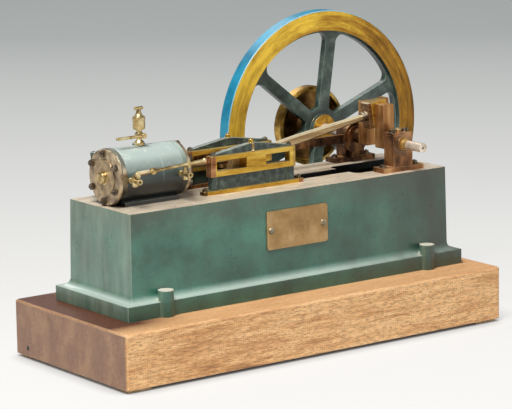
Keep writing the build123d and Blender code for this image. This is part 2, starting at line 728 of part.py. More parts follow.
# Crankshaft bearings: pedestals with loose caps
block_top_z = bed_top + pedestal_base_height + pedestal_block_height - cap_thickness
pedestal_outer_y = {"near": pedestal_near_y, "far": pedestal_far_y}
bearings = {}
for side_name, side in (("near", -1), ("far", 1)):
    outer_y = pedestal_outer_y[side_name]
    pedestal_mid_y = outer_y - side * pedestal_depth / 2
    block_near_y = pedestal_mid_y - pedestal_block_depth / 2
    block_foot_middle = (crank_x, pedestal_mid_y, bed_top + pedestal_base_height)
    with BuildPart() as pedestal:
        with BuildSketch(level(bed_top, crank_x, pedestal_mid_y)):
            Rectangle(pedestal_base_length, pedestal_depth)
        extrude(amount=pedestal_base_height)
        with BuildSketch(across(block_near_y, crank_x, bed_top)):
            with Locations((0, (pedestal_base_height + block_top_z - bed_top) / 2)):
                Rectangle(pedestal_block_length, block_top_z - bed_top - pedestal_base_height)
        extrude(amount=-pedestal_block_depth)
        base_top_edges = pedestal.edges().filter_by(Axis.Y).group_by(Axis.Z)[1]
        fillet(base_top_edges.sort_by_distance(block_foot_middle)[:2], radius=pedestal_fillet)
        with BuildSketch(across(block_near_y - bush_proud, crank_x, axis_z)):
            Circle(bush_radius)
        extrude(amount=-(pedestal_block_depth + 2 * bush_proud))
        with BuildSketch(level(bed_top + pedestal_base_height, crank_x, pedestal_mid_y)):
            with GridLocations(pedestal_bolt_spacing, 0, 2, 1):
                RegularPolygon(pedestal_nut_size / 2, 6, major_radius=False)
        extrude(amount=pedestal_nut_height)
        with BuildSketch(across(outer_y - 4 * pedestal_depth, crank_x, axis_z)):
            Circle(shaft_radius + running_clearance)
        extrude(amount=-8 * pedestal_depth, mode=Mode.SUBTRACT)
    with BuildPart() as pedestal_cap:
        with BuildSketch(level(block_top_z, crank_x, pedestal_mid_y)):
            Rectangle(pedestal_block_length, pedestal_block_depth)
        extrude(amount=cap_thickness)
        with BuildSketch(level(block_top_z + cap_thickness, crank_x, pedestal_mid_y)):
            with GridLocations(cap_nut_spacing, 0, 2, 1):
                RegularPolygon(pedestal_nut_size / 2, 6, major_radius=False)
            Circle(oil_cup_radius)
        extrude(amount=pedestal_nut_height)
    bearings[f"{side_name}_pedestal"] = pedestal
    bearings[f"{side_name}_bearing_cap"] = pedestal_cap

# Built-up crankshaft: two lengths of shaft and the crankpin, pressed into blind holes in two webs
web_inner_y = web_gap / 2
web_outer_y = web_inner_y + web_thickness
web_hole_depth = web_thickness - web_skin
shaft_step_y = shaft_near_end_y + shaft_end_length
with BuildPart() as crankshaft:
    with BuildSketch(across(shaft_near_end_y, crank_x, axis_z)):
        Circle(shaft_end_diameter / 2)
    extrude(amount=-shaft_end_length)
    with BuildSketch(across(shaft_step_y, crank_x, axis_z)):
        Circle(shaft_radius)
    extrude(amount=shaft_step_y + web_inner_y + web_skin)
    with BuildSketch(across(shaft_near_end_y, crank_x, axis_z)):
        Circle(centre_hole_radius)
    extrude(amount=-centre_hole_depth, mode=Mode.SUBTRACT)
    with BuildSketch(across(web_inner_y + web_skin, crank_x, axis_z)):
        Circle(shaft_radius)
    extrude(amount=web_inner_y + web_skin - shaft_far_end_y)
    with BuildSketch(across(-web_inner_y - web_hole_depth, crank_x, pin_z)):
        Circle(crankpin_radius)
    extrude(amount=-2 * (web_inner_y + web_hole_depth))

webs = {}
for web_name, side in (("near_crank_web", -1), ("far_crank_web", 1)):
    with BuildPart() as web:
        with BuildSketch(across(side * web_outer_y, crank_x, axis_z + (throw + web_head - web_tail) / 2)):
            Rectangle(web_width, throw + web_head + web_tail)
        extrude(amount=side * web_thickness)
        chamfer(web.edges().filter_by(Axis.Y), length=web_bevel)
        with BuildSketch(across(side * web_outer_y, crank_x, axis_z)):
            Circle(shaft_radius)
        extrude(amount=side * web_hole_depth, mode=Mode.SUBTRACT)
        with BuildSketch(across(side * web_inner_y, crank_x, pin_z)):
            Circle(crankpin_radius)
        extrude(amount=-side * web_hole_depth, mode=Mode.SUBTRACT)
    webs[web_name] = web

# Flywheel: rim, and a spider of hub and six spokes left by windows cut in a flat web
flywheel_rim_inner = flywheel_radius - flywheel_rim_depth
flywheel_mid_y = flywheel_near_y + flywheel_width / 2
hub_near_y = flywheel_near_y - flywheel_hub_proud
with BuildPart() as flywheel_rim:
    with BuildSketch(across(flywheel_near_y, crank_x, axis_z)):
        Circle(flywheel_radius)
        Circle(flywheel_rim_inner, mode=Mode.SUBTRACT)
    extrude(amount=-flywheel_width)
    outer_edges = flywheel_rim.edges().filter_by(GeomType.CIRCLE).sort_by(SortBy.RADIUS)[-2:]
    chamfer(outer_edges, length=wheel_edge_bevel)


def from_middle(corner):
    """How far a corner of the windows is from the wheel's middle, to a tenth of a millimetre."""
    return round(sqrt(corner.X**2 + corner.Y**2), 1)


with BuildPart() as flywheel_spokes:
    with BuildSketch(across(flywheel_mid_y - flywheel_web_thickness / 2, crank_x, axis_z)):
        Circle(flywheel_rim_inner)
    extrude(amount=-flywheel_web_thickness)
    with BuildSketch(across(flywheel_mid_y - flywheel_width, crank_x, axis_z)) as windows:
        Circle(flywheel_rim_inner - web_land)
        Circle(spoke_root_radius, mode=Mode.SUBTRACT)
        for pair in range(spoke_pairs):
            turn = spoke_angle + 180 / spoke_pairs * pair
            Rectangle(2 * flywheel_radius, spoke_width, rotation=turn, mode=Mode.SUBTRACT)
        fillet(windows.vertices().group_by(from_middle)[0], radius=spoke_root_fillet)
        fillet(windows.vertices().group_by(from_middle)[-1], radius=spoke_rim_fillet)
    extrude(amount=-2 * flywheel_width, mode=Mode.SUBTRACT)
    with BuildSketch(across(hub_near_y, crank_x, axis_z)):
        Circle(flywheel_hub_radius)
    extrude(amount=-flywheel_hub_length)
    with BuildSketch(across(hub_near_y, crank_x, axis_z)):
        Circle(shaft_radius)
    extrude(amount=-flywheel_hub_length, mode=Mode.SUBTRACT)

# Rear pulley: dished, with a conical hub
pulley_hub_near_y = hub_near_y + flywheel_hub_length + pulley_gap
pulley_rim_near_y = pulley_hub_near_y + pulley_setback
pulley_far_y = pulley_rim_near_y + pulley_rim_width
pulley_rim_inner = pulley_radius - pulley_rim_depth
with BuildPart() as rear_pulley:
    with BuildSketch(along(crank_x, 0, axis_z)):
        with BuildLine():
            Polyline(
                (pulley_hub_near_y, shaft_radius),
                (pulley_hub_near_y, pulley_hub_nose_radius),
                (pulley_far_y - pulley_web_thickness, pulley_hub_base_radius),
                (pulley_far_y - pulley_web_thickness, pulley_rim_inner),
                (pulley_rim_near_y, pulley_rim_inner + wheel_edge_bevel),
                (pulley_rim_near_y, pulley_radius - wheel_edge_bevel),
                (pulley_rim_near_y + wheel_edge_bevel, pulley_radius),
                (pulley_far_y - wheel_edge_bevel, pulley_radius),
                (pulley_far_y, pulley_radius - wheel_edge_bevel),
                (pulley_far_y, shaft_radius),
                (pulley_hub_near_y, shaft_radius),
            )
        make_face()
    revolve(axis=shaft_axis)

# Eccentric sheave with its hub, set on the shaft
eccentric_x = crank_x - eccentric_throw * sin(radians(eccentric_angle))
eccentric_z = axis_z + eccentric_throw * cos(radians(eccentric_angle))
sheave_near_y = eccentric_y - sheave_width / 2
with BuildPart() as eccentric_sheave:
    with BuildSketch(across(sheave_near_y, eccentric_x, eccentric_z)):
        Circle(sheave_radius)
    extrude(amount=-sheave_width)
    with BuildSketch(across(sheave_near_y - sheave_hub_length, crank_x, axis_z)):
        Circle(sheave_hub_radius)
    extrude(amount=-sheave_hub_length)
    with BuildSketch(across(sheave_near_y - sheave_hub_length, crank_x, axis_z)):
        Circle(shaft_radius)
    extrude(amount=-(sheave_hub_length + sheave_width), mode=Mode.SUBTRACT)

# Eccentric strap, split at its bolted lugs, with the tapered rod that drives the valve
strap_bore = sheave_radius + running_clearance
strap_outer = strap_bore + strap_wall
strap_near_y = eccentric_y - strap_width / 2
eccentric_rod_near_y = eccentric_y - eccentric_rod_thickness / 2
strap_middle = (strap_bore + strap_outer) / 2
rod_shoulder = strap_outer + strap_wall / 2
with BuildPart() as eccentric_strap:
    with BuildSketch(across(strap_near_y, eccentric_x, eccentric_z)):
        Circle(strap_outer)
        with Locations((0, strap_outer), (0, -strap_outer)):
            Rectangle(2 * strap_lug_width, 2 * strap_lug_reach)
        Circle(strap_bore, mode=Mode.SUBTRACT)
    extrude(amount=-strap_width)
    with BuildSketch(across(eccentric_rod_near_y)):
        with BuildLine():
            Polyline(
                (eccentric_x - strap_middle, eccentric_z + eccentric_rod_depth / 2),
                (eccentric_x - rod_shoulder, eccentric_z + eccentric_rod_depth / 2),
                (eccentric_rod_x, axis_z + eccentric_rod_tip_depth / 2),
                (eccentric_rod_x, axis_z - eccentric_rod_tip_depth / 2),
                (eccentric_x - rod_shoulder, eccentric_z - eccentric_rod_depth / 2),
                (eccentric_x - strap_middle, eccentric_z - eccentric_rod_depth / 2),
                close=True,
            )
        make_face()
        with Locations((eccentric_rod_x, axis_z)):
            Circle(eccentric_eye_radius)
            Circle(valve_pin_radius + open_eye_clearance, mode=Mode.SUBTRACT)
    extrude(amount=-eccentric_rod_thickness)

# Valve spindle with the fork that takes the eccentric rod
fork_gap = eccentric_rod_thickness + 2 * side_play
fork_length = 3 * eccentric_eye_radius
with BuildPart() as valve_spindle:
    with BuildSketch(along(chest_start_x + 2 * chest_wall, valve_rod_y, axis_z)):
        Circle(valve_rod_diameter / 2)
    extrude(amount=eccentric_rod_x - 2 * eccentric_eye_radius - chest_start_x - 2 * chest_wall)
    with BuildSketch(across(valve_rod_y - fork_gap / 2 - fork_cheek, eccentric_rod_x, axis_z)):
        with Locations((-fork_length / 2, 0)):
            Rectangle(fork_length, fork_height)
        Circle(fork_height / 2)
    extrude(amount=-(fork_gap + 2 * fork_cheek))
    with BuildSketch(across(valve_rod_y - fork_gap / 2, eccentric_rod_x, axis_z)):
        with Locations((eccentric_eye_radius / 2, 0)):
            Rectangle(3 * eccentric_eye_radius + fork_cheek, 2 * fork_height)
    extrude(amount=-fork_gap, mode=Mode.SUBTRACT)
    with BuildSketch(across(valve_rod_y - fork_gap / 2 - fork_cheek, eccentric_rod_x, axis_z)):
        Circle(valve_pin_radius)
    extrude(amount=-(fork_gap + 2 * fork_cheek))

# Connecting rod, drawn along its own length from the crankpin to the crosshead pin
rod_length = sqrt((crank_x - crosshead_x) ** 2 + throw**2)
rod_cos = (crank_x - crosshead_x) / rod_length
rod_sin = throw / rod_length


def beside_rod(y, reach=0.0):
    """A plane parallel to the rod's side, its first axis running from the crankpin to the crosshead."""
    return Plane(
        origin=(crank_x - reach * rod_cos, y, pin_z - reach * rod_sin),
        x_dir=(-rod_cos, 0, -rod_sin),
        z_dir=(0, 1, 0),
    )


def across_rod(reach):
    """A plane square to the rod, at a distance from the crankpin, looking towards the crosshead."""
    return Plane(
        origin=(crank_x - reach * rod_cos, 0, pin_z - reach * rod_sin),
        x_dir=(0, 1, 0),
        z_dir=(-rod_cos, 0, -rod_sin),
    )


palm_start = brass_length / 2
palm_end = palm_start + palm_thickness
neck_start = palm_end + 3 * rod_collar_width
small_eye_bore = gudgeon_radius + small_end_clearance
small_eye_radius = small_eye_bore + small_end_wall
with BuildPart() as connecting_rod:
    with BuildSketch(beside_rod(-rod_thickness / 2)):
        with BuildLine():
            Polyline(
                (palm_end, rod_depth_neck / 2),
                (neck_start, rod_depth_neck / 2),
                (rod_belly_share * rod_length, rod_depth_middle / 2),
                (rod_length, rod_depth_small_end / 2),
                (rod_length, -rod_depth_small_end / 2),
                (rod_belly_share * rod_length, -rod_depth_middle / 2),
                (neck_start, -rod_depth_neck / 2),
                (palm_end, -rod_depth_neck / 2),
                close=True,
            )
        make_face()
    extrude(amount=rod_thickness)
    chamfer([edge for edge in connecting_rod.edges() if edge.length > rod_length / 4], length=rod_bevel)
    with BuildSketch(beside_rod(-rod_thickness / 2)):
        with Locations((rod_length, 0)):
            Circle(small_eye_radius)
    extrude(amount=rod_thickness)
    with BuildSketch(beside_rod(-palm_width / 2)):
        with Locations(((palm_start + palm_end) / 2, 0)):
            Rectangle(palm_thickness, 2 * palm_reach)
    extrude(amount=palm_width)
    with BuildSketch(across_rod(palm_end)):
        Circle(rod_collar_radius)
    extrude(amount=rod_collar_width)
    with BuildSketch(across_rod(palm_end + rod_collar_spacing)):
        Circle(rod_collar_radius)
    extrude(amount=rod_collar_width)
    with BuildSketch(beside_rod(-rod_thickness)):
        with Locations((rod_length, 0)):
            Circle(small_eye_bore)
    extrude(amount=2 * rod_thickness, mode=Mode.SUBTRACT)

with BuildPart() as big_end_brasses:
    with BuildSketch(beside_rod(-brass_width / 2)):
        Rectangle(brass_length, brass_height)
        Circle(crankpin_radius + running_clearance, mode=Mode.SUBTRACT)
    extrude(amount=brass_width)
    with BuildSketch(across_rod(-palm_start)):
        with Locations((0, big_end_bolt_offset), (0, -big_end_bolt_offset)):
            Circle(big_end_bolt_radius + running_clearance)
    extrude(amount=brass_length, mode=Mode.SUBTRACT)

with BuildPart() as big_end_cap:
    with BuildSketch(across_rod(-palm_start - big_end_cap_thickness)):
        Rectangle(palm_width, brass_height + big_end_cap_overhang)
    extrude(amount=big_end_cap_thickness)
    with BuildSketch(across_rod(-palm_start)):
        with Locations((0, big_end_bolt_offset), (0, -big_end_bolt_offset)):
            Circle(big_end_bolt_radius)
    extrude(amount=brass_length)
    with BuildSketch(across_rod(-palm_start - big_end_cap_thickness)):
        with Locations((0, big_end_bolt_offset), (0, -big_end_bolt_offset)):
            RegularPolygon(big_end_nut_size / 2, 6, major_radius=False)
    extrude(amount=-big_end_nut_height)

# Crosshead, slippers and piston rod
crosshead_start_x = crosshead_x + gudgeon_to_boss - crosshead_length
slipper_outer_y = guide_inner_y + guide_width - slipper_setback
slot_width = rod_thickness + 2 * side_play
slot_depth = small_eye_radius + 2 * side_play + small_end_clearance
with BuildPart() as crosshead:
    with BuildSketch(along(crosshead_start_x, 0, axis_z)):
        RectangleRounded(crosshead_width, crosshead_height, crosshead_corner_radius)
    extrude(amount=crosshead_length)
    with BuildSketch(level(axis_z - crosshead_height, crosshead_x)):
        with Locations(((crosshead_length - slot_depth) / 2, 0)):
            Rectangle(crosshead_length + slot_depth, slot_width)
    extrude(amount=2 * crosshead_height, mode=Mode.SUBTRACT)
    with BuildSketch(across(-crosshead_width / 2, crosshead_x, axis_z)):
        Circle(gudgeon_radius)
    extrude(amount=-crosshead_width)

with BuildPart() as slippers:
    for slipper_near_y in (-slipper_outer_y, crosshead_width / 2):
        with BuildSketch(across(slipper_near_y, crosshead_x, axis_z)):
            Rectangle(slipper_length, slide_gap - 2 * running_clearance)
        extrude(amount=crosshead_width / 2 - slipper_outer_y)

piston_x = cylinder_mid_x + (crosshead_x - crank_x + rod_length)
with BuildPart() as piston_rod:
    with BuildSketch(along(piston_x, 0, axis_z)):
        Circle(piston_rod_diameter / 2)
    extrude(amount=crosshead_start_x - piston_x)
    with BuildSketch(along(piston_x - piston_length / 2, 0, axis_z)):
        Circle(bore_radius - running_clearance)
    extrude(amount=piston_length)

# Every node with its name
nodes = {
    "plinth": plinth,
    "plinth_pads": plinth_pads,
    "bed": bed,
    "name_plate": name_plate,
    "cylinder": cylinder,
    "cylinder_cleading": cylinder_cleading,
    "outer_cover": outer_cover,
    "outer_cover_nuts": outer_cover_nuts,
    "inner_cover": inner_cover,
    "piston_rod_gland": piston_rod_gland,
    "valve_chest": valve_chest,
    "valve_chest_cover": valve_chest_cover,
    "lubricator_body": lubricator_body,
    "lubricator_tap": lubricator_tap,
    "drain_rod": drain_rod,
    "crankshaft": crankshaft,
    "flywheel_rim": flywheel_rim,
    "flywheel_spokes": flywheel_spokes,
    "rear_pulley": rear_pulley,
    "eccentric_sheave": eccentric_sheave,
    "eccentric_strap": eccentric_strap,
    "valve_spindle": valve_spindle,
    "connecting_rod": connecting_rod,
    "big_end_brasses": big_end_brasses,
    "big_end_cap": big_end_cap,
    "crosshead": crosshead,
    "slippers": slippers,
    "piston_rod": piston_rod,
    **cocks,
    **levers,
    **guides,
    **bearings,
    **webs,
}
os.makedirs("parts", exist_ok=True)
for node_name, node in nodes.items():
    node.part.label = node_name
    export_step(node.part, f"parts/{node_name}.step")
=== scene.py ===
import math
import bmesh
import bpy
from mathutils import Matrix, Vector


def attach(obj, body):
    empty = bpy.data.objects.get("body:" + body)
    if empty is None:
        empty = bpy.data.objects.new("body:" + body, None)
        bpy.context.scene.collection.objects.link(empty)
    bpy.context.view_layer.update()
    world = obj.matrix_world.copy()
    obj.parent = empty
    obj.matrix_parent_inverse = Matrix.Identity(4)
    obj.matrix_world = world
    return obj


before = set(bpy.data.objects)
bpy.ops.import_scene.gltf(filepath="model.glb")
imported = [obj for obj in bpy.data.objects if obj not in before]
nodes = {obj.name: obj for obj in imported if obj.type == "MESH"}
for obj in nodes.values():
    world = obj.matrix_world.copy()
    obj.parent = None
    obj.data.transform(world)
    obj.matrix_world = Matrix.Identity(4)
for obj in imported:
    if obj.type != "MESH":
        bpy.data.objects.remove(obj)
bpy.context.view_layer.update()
mm = 0.001
print("frame loaded:", len(nodes), "CAD nodes")

scene = bpy.context.scene
scene.view_settings.view_transform = "Standard"


# Camera, as it stood for the photograph: a long lens, a little above the engine
cameraSetup = {
    "place": (-1.4740, -2.0090, 0.6136),
    "yaw": 36.48,  # degrees to the right of +Y
    "pitch": 10.78,  # degrees down
    "roll": -0.82,
    "lens": 190.74,
    "shift": (-0.0322, -0.0266),
    "farthest": 50,  # metres
}


def makeCamera(setup):
    yaw, pitch, roll = (math.radians(setup[part]) for part in ("yaw", "pitch", "roll"))
    ahead = Vector((math.sin(yaw) * math.cos(pitch), math.cos(yaw) * math.cos(pitch), -math.sin(pitch)))
    level = Vector((math.cos(yaw), -math.sin(yaw), 0))
    upright = level.cross(ahead)
    right = level * math.cos(roll) + upright * math.sin(roll)
    up = upright * math.cos(roll) - level * math.sin(roll)
    camera = bpy.data.objects.new("camera", bpy.data.cameras.new("camera"))
    scene.collection.objects.link(camera)
    turn = Matrix((right, up, -ahead)).transposed().to_4x4()
    camera.matrix_world = Matrix.Translation(setup["place"]) @ turn
    camera.data.lens = setup["lens"]
    camera.data.shift_x, camera.data.shift_y = setup["shift"]
    camera.data.clip_end = setup["farthest"]
    scene.camera = camera


makeCamera(cameraSetup)
print("camera placed")


# Colours and nodes
def linearColour(code):
    channels = [int(code[i:i + 2], 16) / 255 for i in (1, 3, 5)]
    return [c / 12.92 if c <= 0.04045 else ((c + 0.055) / 1.055) ** 2.4 for c in channels] + [1.0]


def addNode(tree, kind, values, output=0):
    # a value is a setting of the node, a number or hex colour for one of its sockets, or the socket that feeds it
    node = tree.nodes.new("ShaderNode" + kind)
    for key, value in values.items():
        if key == "stops":
            while len(node.color_ramp.elements) < len(value):
                node.color_ramp.elements.new(0.5)
            for stop, (position, code) in zip(node.color_ramp.elements, value):
                stop.position = position
                stop.color = linearColour(code)
        elif isinstance(value, bpy.types.NodeSocket):
            tree.links.new(value, node.inputs[key])
        elif isinstance(key, str) and key in node.bl_rna.properties:
            setattr(node, key, value)
        else:
            node.inputs[key].default_value = linearColour(value) if isinstance(value, str) else value
    return node.outputs[output]


def newMaterial(name, look):
    material = bpy.data.materials.new(name)
    material.use_nodes = True
    tree = material.node_tree
    shader = tree.nodes["Principled BSDF"]
    for key, value in look.items():
        shader.inputs[key].default_value = value
    return material, tree, shader


def perMetre(size):
    # a texture's scale, from the real size in millimetres of what it draws
    return 1 / (size * mm)


def softEdge(tree, radius):
    # the edge rounding of a filed or cast part: a normal that turns over the corner, and how much of a corner it is
    bevel = addNode(tree, "Bevel", {"samples": 6, "Radius": radius * mm})
    flat = addNode(tree, "NewGeometry", {}, "Normal")
    facing = addNode(tree, "VectorMath", {"operation": "DOT_PRODUCT", 0: bevel, 1: flat}, "Value")
    corner = addNode(tree, "MapRange", {"From Min": 0.995, "From Max": 0.86, "Value": facing})
    return bevel, corner


def facingMask(tree, axis, low, high):
    # 1 where the object's own normal points along the axis
    normal = addNode(tree, "TexCoord", {}, "Normal")
    part = addNode(tree, "SeparateXYZ", {0: normal}, axis)
    return addNode(tree, "MapRange", {"From Min": low, "From Max": high, "Value": part})


def stretchedPlace(tree, centre=(0, 0, 0), scale=(1, 1, 1)):
    # the object's own coordinates, from a centre in millimetres, squeezed along an axis for a drawn-out grain
    place = addNode(tree, "TexCoord", {}, "Object")
    shift = [-c * mm * s for c, s in zip(centre, scale)]
    return addNode(tree, "Mapping", {"Location": shift, "Scale": scale, "Vector": place})


def zoneMask(tree, place, zone):
    # 1 where the place along an axis, or the distance from it, lies between the zone's two ends in millimetres
    if zone["by"] in ("X", "Y", "Z"):
        measure = addNode(tree, "SeparateXYZ", {0: place}, zone["by"])
    elif not isinstance(zone["by"], str):  # along a slanting direction
        slant = {"operation": "DOT_PRODUCT", 0: place, 1: zone["by"]}
        measure = addNode(tree, "VectorMath", slant, "Value")
    else:
        keep = {"round X": (0, 1, 1), "round Y": (1, 0, 1)}[zone["by"]]
        flat = addNode(tree, "VectorMath", {"operation": "MULTIPLY", 0: place, 1: keep})
        measure = addNode(tree, "VectorMath", {"operation": "LENGTH", 0: flat}, "Value")
    middle = (zone["from"] + zone["to"]) / 2 * mm
    half = (zone["to"] - zone["from"]) / 2 * mm
    return addNode(tree, "Math", {"operation": "COMPARE", 0: measure, 1: middle, 2: half})


def layOver(tree, colour, layers):
    # lays one colour after another over the first, each through its own mask
    for mask, upper in layers:
        colour = addNode(tree, "Mix", {"data_type": "RGBA", 0: mask, 6: colour, 7: upper}, 2)
    return colour


# Where the dark, middle and light tone stand on the noise that spreads them
toneSteps = {
    "metal": (0.32, 0.5, 0.68), "enamel": (0.36, 0.5, 0.66), "zone": (0.34, 0.5, 0.66),
    "wheel": (0.4, 0.5, 0.6), "endGrain": (0.36, 0.5, 0.64), "oak": (0.3, 0.43, 0.56),
}
waveLength = 0.314  # metres from ring to ring of a wave texture whose scale is 1


def layZones(tree, shader, place, stain, finish, colour):
    # lays each zone's own three tones over the colour, and mixes the metal value only where a zone brings its own
    zones = finish.get("zones", [])
    ownMetal = any("metallic" in zone for zone in zones)
    metallic = shader.inputs["Metallic"].default_value = finish["metallic"]
    for zone in zones:
        mask = zoneMask(tree, place, zone)
        stops = list(zip(toneSteps["zone"], zone["tones"]))
        tone = addNode(tree, "ValToRGB", {"stops": stops, 0: stain})
        colour = layOver(tree, colour, [(mask, tone)])
        if ownMetal:
            value = zone.get("metallic", finish["metallic"])
            metallic = addNode(tree, "Mix", {0: mask, 2: metallic, 3: value})
    if ownMetal:
        tree.links.new(metallic, shader.inputs["Metallic"])
    return colour


def paintLightByFacing(tree, colour, finish):
    # what faces up is painted paler as a painted highlight, what faces down painted darker as painted shade
    for key in ("top", "under"):
        if key in finish:
            code, share, low, high = finish[key]
            facing = facingMask(tree, 2, low, high)
            mask = addNode(tree, "Math", {"operation": "MULTIPLY", 0: facing, 1: share})
            colour = layOver(tree, colour, [(mask, code)])
    return colour


# What a metal has unless its own finish says otherwise. Sizes are millimetres. Real file marks and lathe rings are
# about a quarter of a millimetre apart, too fine to show, so every pitch below is drawn some four times as coarse
plainMetal = {
    "centre": (0, 0, 0), "streak": (1, 1, 1), "drawn": (1, 1, 1), "edge": 0.35, "speckSize": 1.6, "specks": 0.35,
    "shine": 0.5, "bump": 0.3, "depth": 0.06,
}


def wornMetal(name, ownFinish):
    # a cut or cast metal with the tool's marks, a stain that came with age, dark specks, rubbed bright corners and,
    # where its finish asks, a painted highlight on top and painted shade below
    finish = plainMetal | ownFinish
    material, tree, shader = newMaterial(name, {})
    place = stretchedPlace(tree, finish["centre"])
    streaked = stretchedPlace(tree, finish["centre"], finish["streak"])
    clouds = {"Vector": streaked, "Scale": perMetre(finish["stainSize"]), "Detail": 6.0, "Roughness": 0.62}
    stain = addNode(tree, "TexNoise", clouds)
    normal, corner = softEdge(tree, finish["edge"])
    stops = list(zip(toneSteps["metal"], (finish["dark"], finish["colour"], finish["light"])))
    tone = addNode(tree, "ValToRGB", {"stops": stops, 0: stain})
    colour = layZones(tree, shader, place, stain, finish, tone)

    dots = {"Vector": place, "Scale": perMetre(finish["speckSize"]), "Detail": 3.0, "Roughness": 0.7}
    speck = addNode(tree, "TexNoise", dots)
    onlyDark = {"From Min": 0.56, "From Max": 0.7, "To Max": finish["specks"], "Value": speck}
    specked = addNode(tree, "MapRange", onlyDark)
    rubbed = addNode(tree, "Math", {"operation": "MULTIPLY", 0: corner, 1: finish["shine"]})
    worn = layOver(tree, colour, [(specked, finish["dark"]), (rubbed, finish["light"])])
    # painted highlight on what faces up and painted shade on what faces down, where the finish asks
    tree.links.new(paintLightByFacing(tree, worn, finish), shader.inputs["Base Color"])

    low, high = finish["rough"]
    gloss = {"From Min": 0.3, "From Max": 0.7, "To Min": low, "To Max": high, "Value": stain}
    tree.links.new(addNode(tree, "MapRange", gloss), shader.inputs["Roughness"])
    if "turned" in finish:  # rings left by the lathe tool
        rings = {"wave_type": "RINGS", "rings_direction": finish["turned"], "Distortion": 0.8, "Detail": 2.0}
        pitch = waveLength / (finish["pitch"] * mm)
        marks = addNode(tree, "TexWave", rings | {"Scale": pitch, "Vector": place}, 1)
    else:  # long marks of the file or the drawing die, or the even skin that sand leaves on a casting
        grain = stretchedPlace(tree, (0, 0, 0), finish["drawn"])
        lines = {"Vector": grain, "Scale": perMetre(finish["pitch"]), "Detail": 4.0, "Roughness": 0.65}
        marks = addNode(tree, "TexNoise", lines)
    relief = {"Strength": finish["bump"], "Distance": finish["depth"] * mm, "Height": marks, "Normal": normal}
    tree.links.new(addNode(tree, "Bump", relief), shader.inputs["Normal"])
    return material


# What all the old enamels share. Sizes are millimetres
brushedOn = {
    "coatRough": 0.22,
    "brushSize": 2.2,
    "bump": 0.35,
    "depth": 0.16,
    "chipDepth": -0.5,
    "cornerHighlightShare": 0.45,
    "scuffSize": 7.0,
    "scuffShare": 0.7,
}


def oldEnamel(name, finish):
    # brushed enamel: soft gloss, brush marks, grime in clouds, chips down to brown metal at the corners with a pale
    # painted highlight along them, and, where its finish asks, a painted highlight on top and painted shade below
    look = {"Coat Weight": finish["coat"], "Coat Roughness": brushedOn["coatRough"]}
    material, tree, shader = newMaterial(name, look)
    place = stretchedPlace(tree)
    clouds = {"Vector": place, "Scale": perMetre(finish["cloudSize"]), "Detail": 6.0, "Roughness": 0.6}
    cloud = addNode(tree, "TexNoise", clouds)
    spots = {"Vector": place, "Scale": perMetre(finish["grimeSize"]), "Detail": 8.0, "Roughness": 0.7}
    grime = addNode(tree, "TexNoise", spots)
    normal, corner = softEdge(tree, finish["edge"])
    stops = list(zip(toneSteps["enamel"], (finish["dark"], finish["colour"], finish["light"])))
    tone = addNode(tree, "ValToRGB", {"stops": stops, 0: cloud})
    colour = layZones(tree, shader, place, cloud, finish, tone)

    dirt = {"From Min": 0.5, "From Max": 0.78, "To Max": finish["grime"], "Value": grime}
    soil = addNode(tree, "MapRange", dirt)
    wear = {"operation": "MULTIPLY_ADD", 0: corner, 1: finish["cornerWear"], 2: grime}
    worn = addNode(tree, "Math", wear)
    chip = addNode(tree, "MapRange", {"From Min": 0.84, "From Max": 0.9, "To Max": 0.9, "Value": worn})
    # the rub colour laid along every corner is a painted highlight
    litCorner = addNode(tree, "Math", {"operation": "MULTIPLY", 0: corner, 1: brushedOn["cornerHighlightShare"]})
    rubbed = layOver(tree, colour, [(soil, finish["stain"]), (chip, finish["chip"]), (litCorner, finish["rub"])])
    # painted highlight on top and painted shade below, where the finish asks
    wornWithPaintedLight = paintLightByFacing(tree, rubbed, finish)
    if "scuff" in finish:  # dull rub marks on what faces up
        rubs = {"Scale": perMetre(brushedOn["scuffSize"]), "Detail": 7.0, "Roughness": 0.75, "Distortion": 0.8}
        scuffs = addNode(tree, "TexNoise", rubs | {"Vector": place})
        onlyPale = {"From Min": 0.54, "From Max": 0.68, "To Max": brushedOn["scuffShare"], "Value": scuffs}
        scuffed = addNode(tree, "MapRange", onlyPale)
        upper = facingMask(tree, 2, 0.3, 0.8)
        onUpper = addNode(tree, "Math", {"operation": "MULTIPLY", 0: upper, 1: scuffed})
        wornWithPaintedLight = layOver(tree, wornWithPaintedLight, [(onUpper, finish["scuff"])])
    tree.links.new(wornWithPaintedLight, shader.inputs["Base Color"])

    low, high = finish["rough"]
    gloss = {"From Min": 0.3, "From Max": 0.7, "To Min": low, "To Max": high, "Value": grime}
    tree.links.new(addNode(tree, "MapRange", gloss), shader.inputs["Roughness"])
    strokes = {"Vector": place, "Scale": perMetre(brushedOn["brushSize"]), "Detail": 4.0, "Roughness": 0.6}
    brush = addNode(tree, "TexNoise", strokes)
    sunk = {"operation": "MULTIPLY_ADD", 0: chip, 1: brushedOn["chipDepth"], 2: brush}
    skin = addNode(tree, "Math", sunk)
    relief = {"Strength": brushedOn["bump"], "Distance": brushedOn["depth"] * mm, "Height": skin, "Normal": normal}
    tree.links.new(addNode(tree, "Bump", relief), shader.inputs["Normal"])
    return material, tree, shader, place, grime


# Plinth: oiled oak. The eye gets open pores and saw marks along the sides, darker crumbly end grain with a nail
# hole painted dark as its shade, and a redder top with painted shade over its far left corner
oak = {
    "light": "#F2C58C", "middle": "#D9A268", "dark": "#8C5C32",
    "end": "#93705A", "endDark": "#80604E", "endGold": "#AE8A68", "endPore": "#5E3F2C",
    "top": "#C49367", "topShade": "#4A200E",
    "corner": "#DDBB9C",
    "hole": "#15110E",
    "coat": 0.05,
    "poreWidth": 0.6,  # these are millimetres; real pores are half as wide and would not show
    "figureWidth": 3.2,
    "sawPitch": 2.4,
    "boardWidth": 45.0,
    "crumbSize": 2.4,
    "soakSize": 16.0,
    "cornerRadius": 1.4,
    "grainDepth": 0.35,
    "nailHole": (-220.5, 66.0, 10.5),
    "nailRadius": (1.9, 2.6),
    "shadeBehind": (-92.0, -66.0),
    "shadeLeft": (-130.0, -185.0),
}


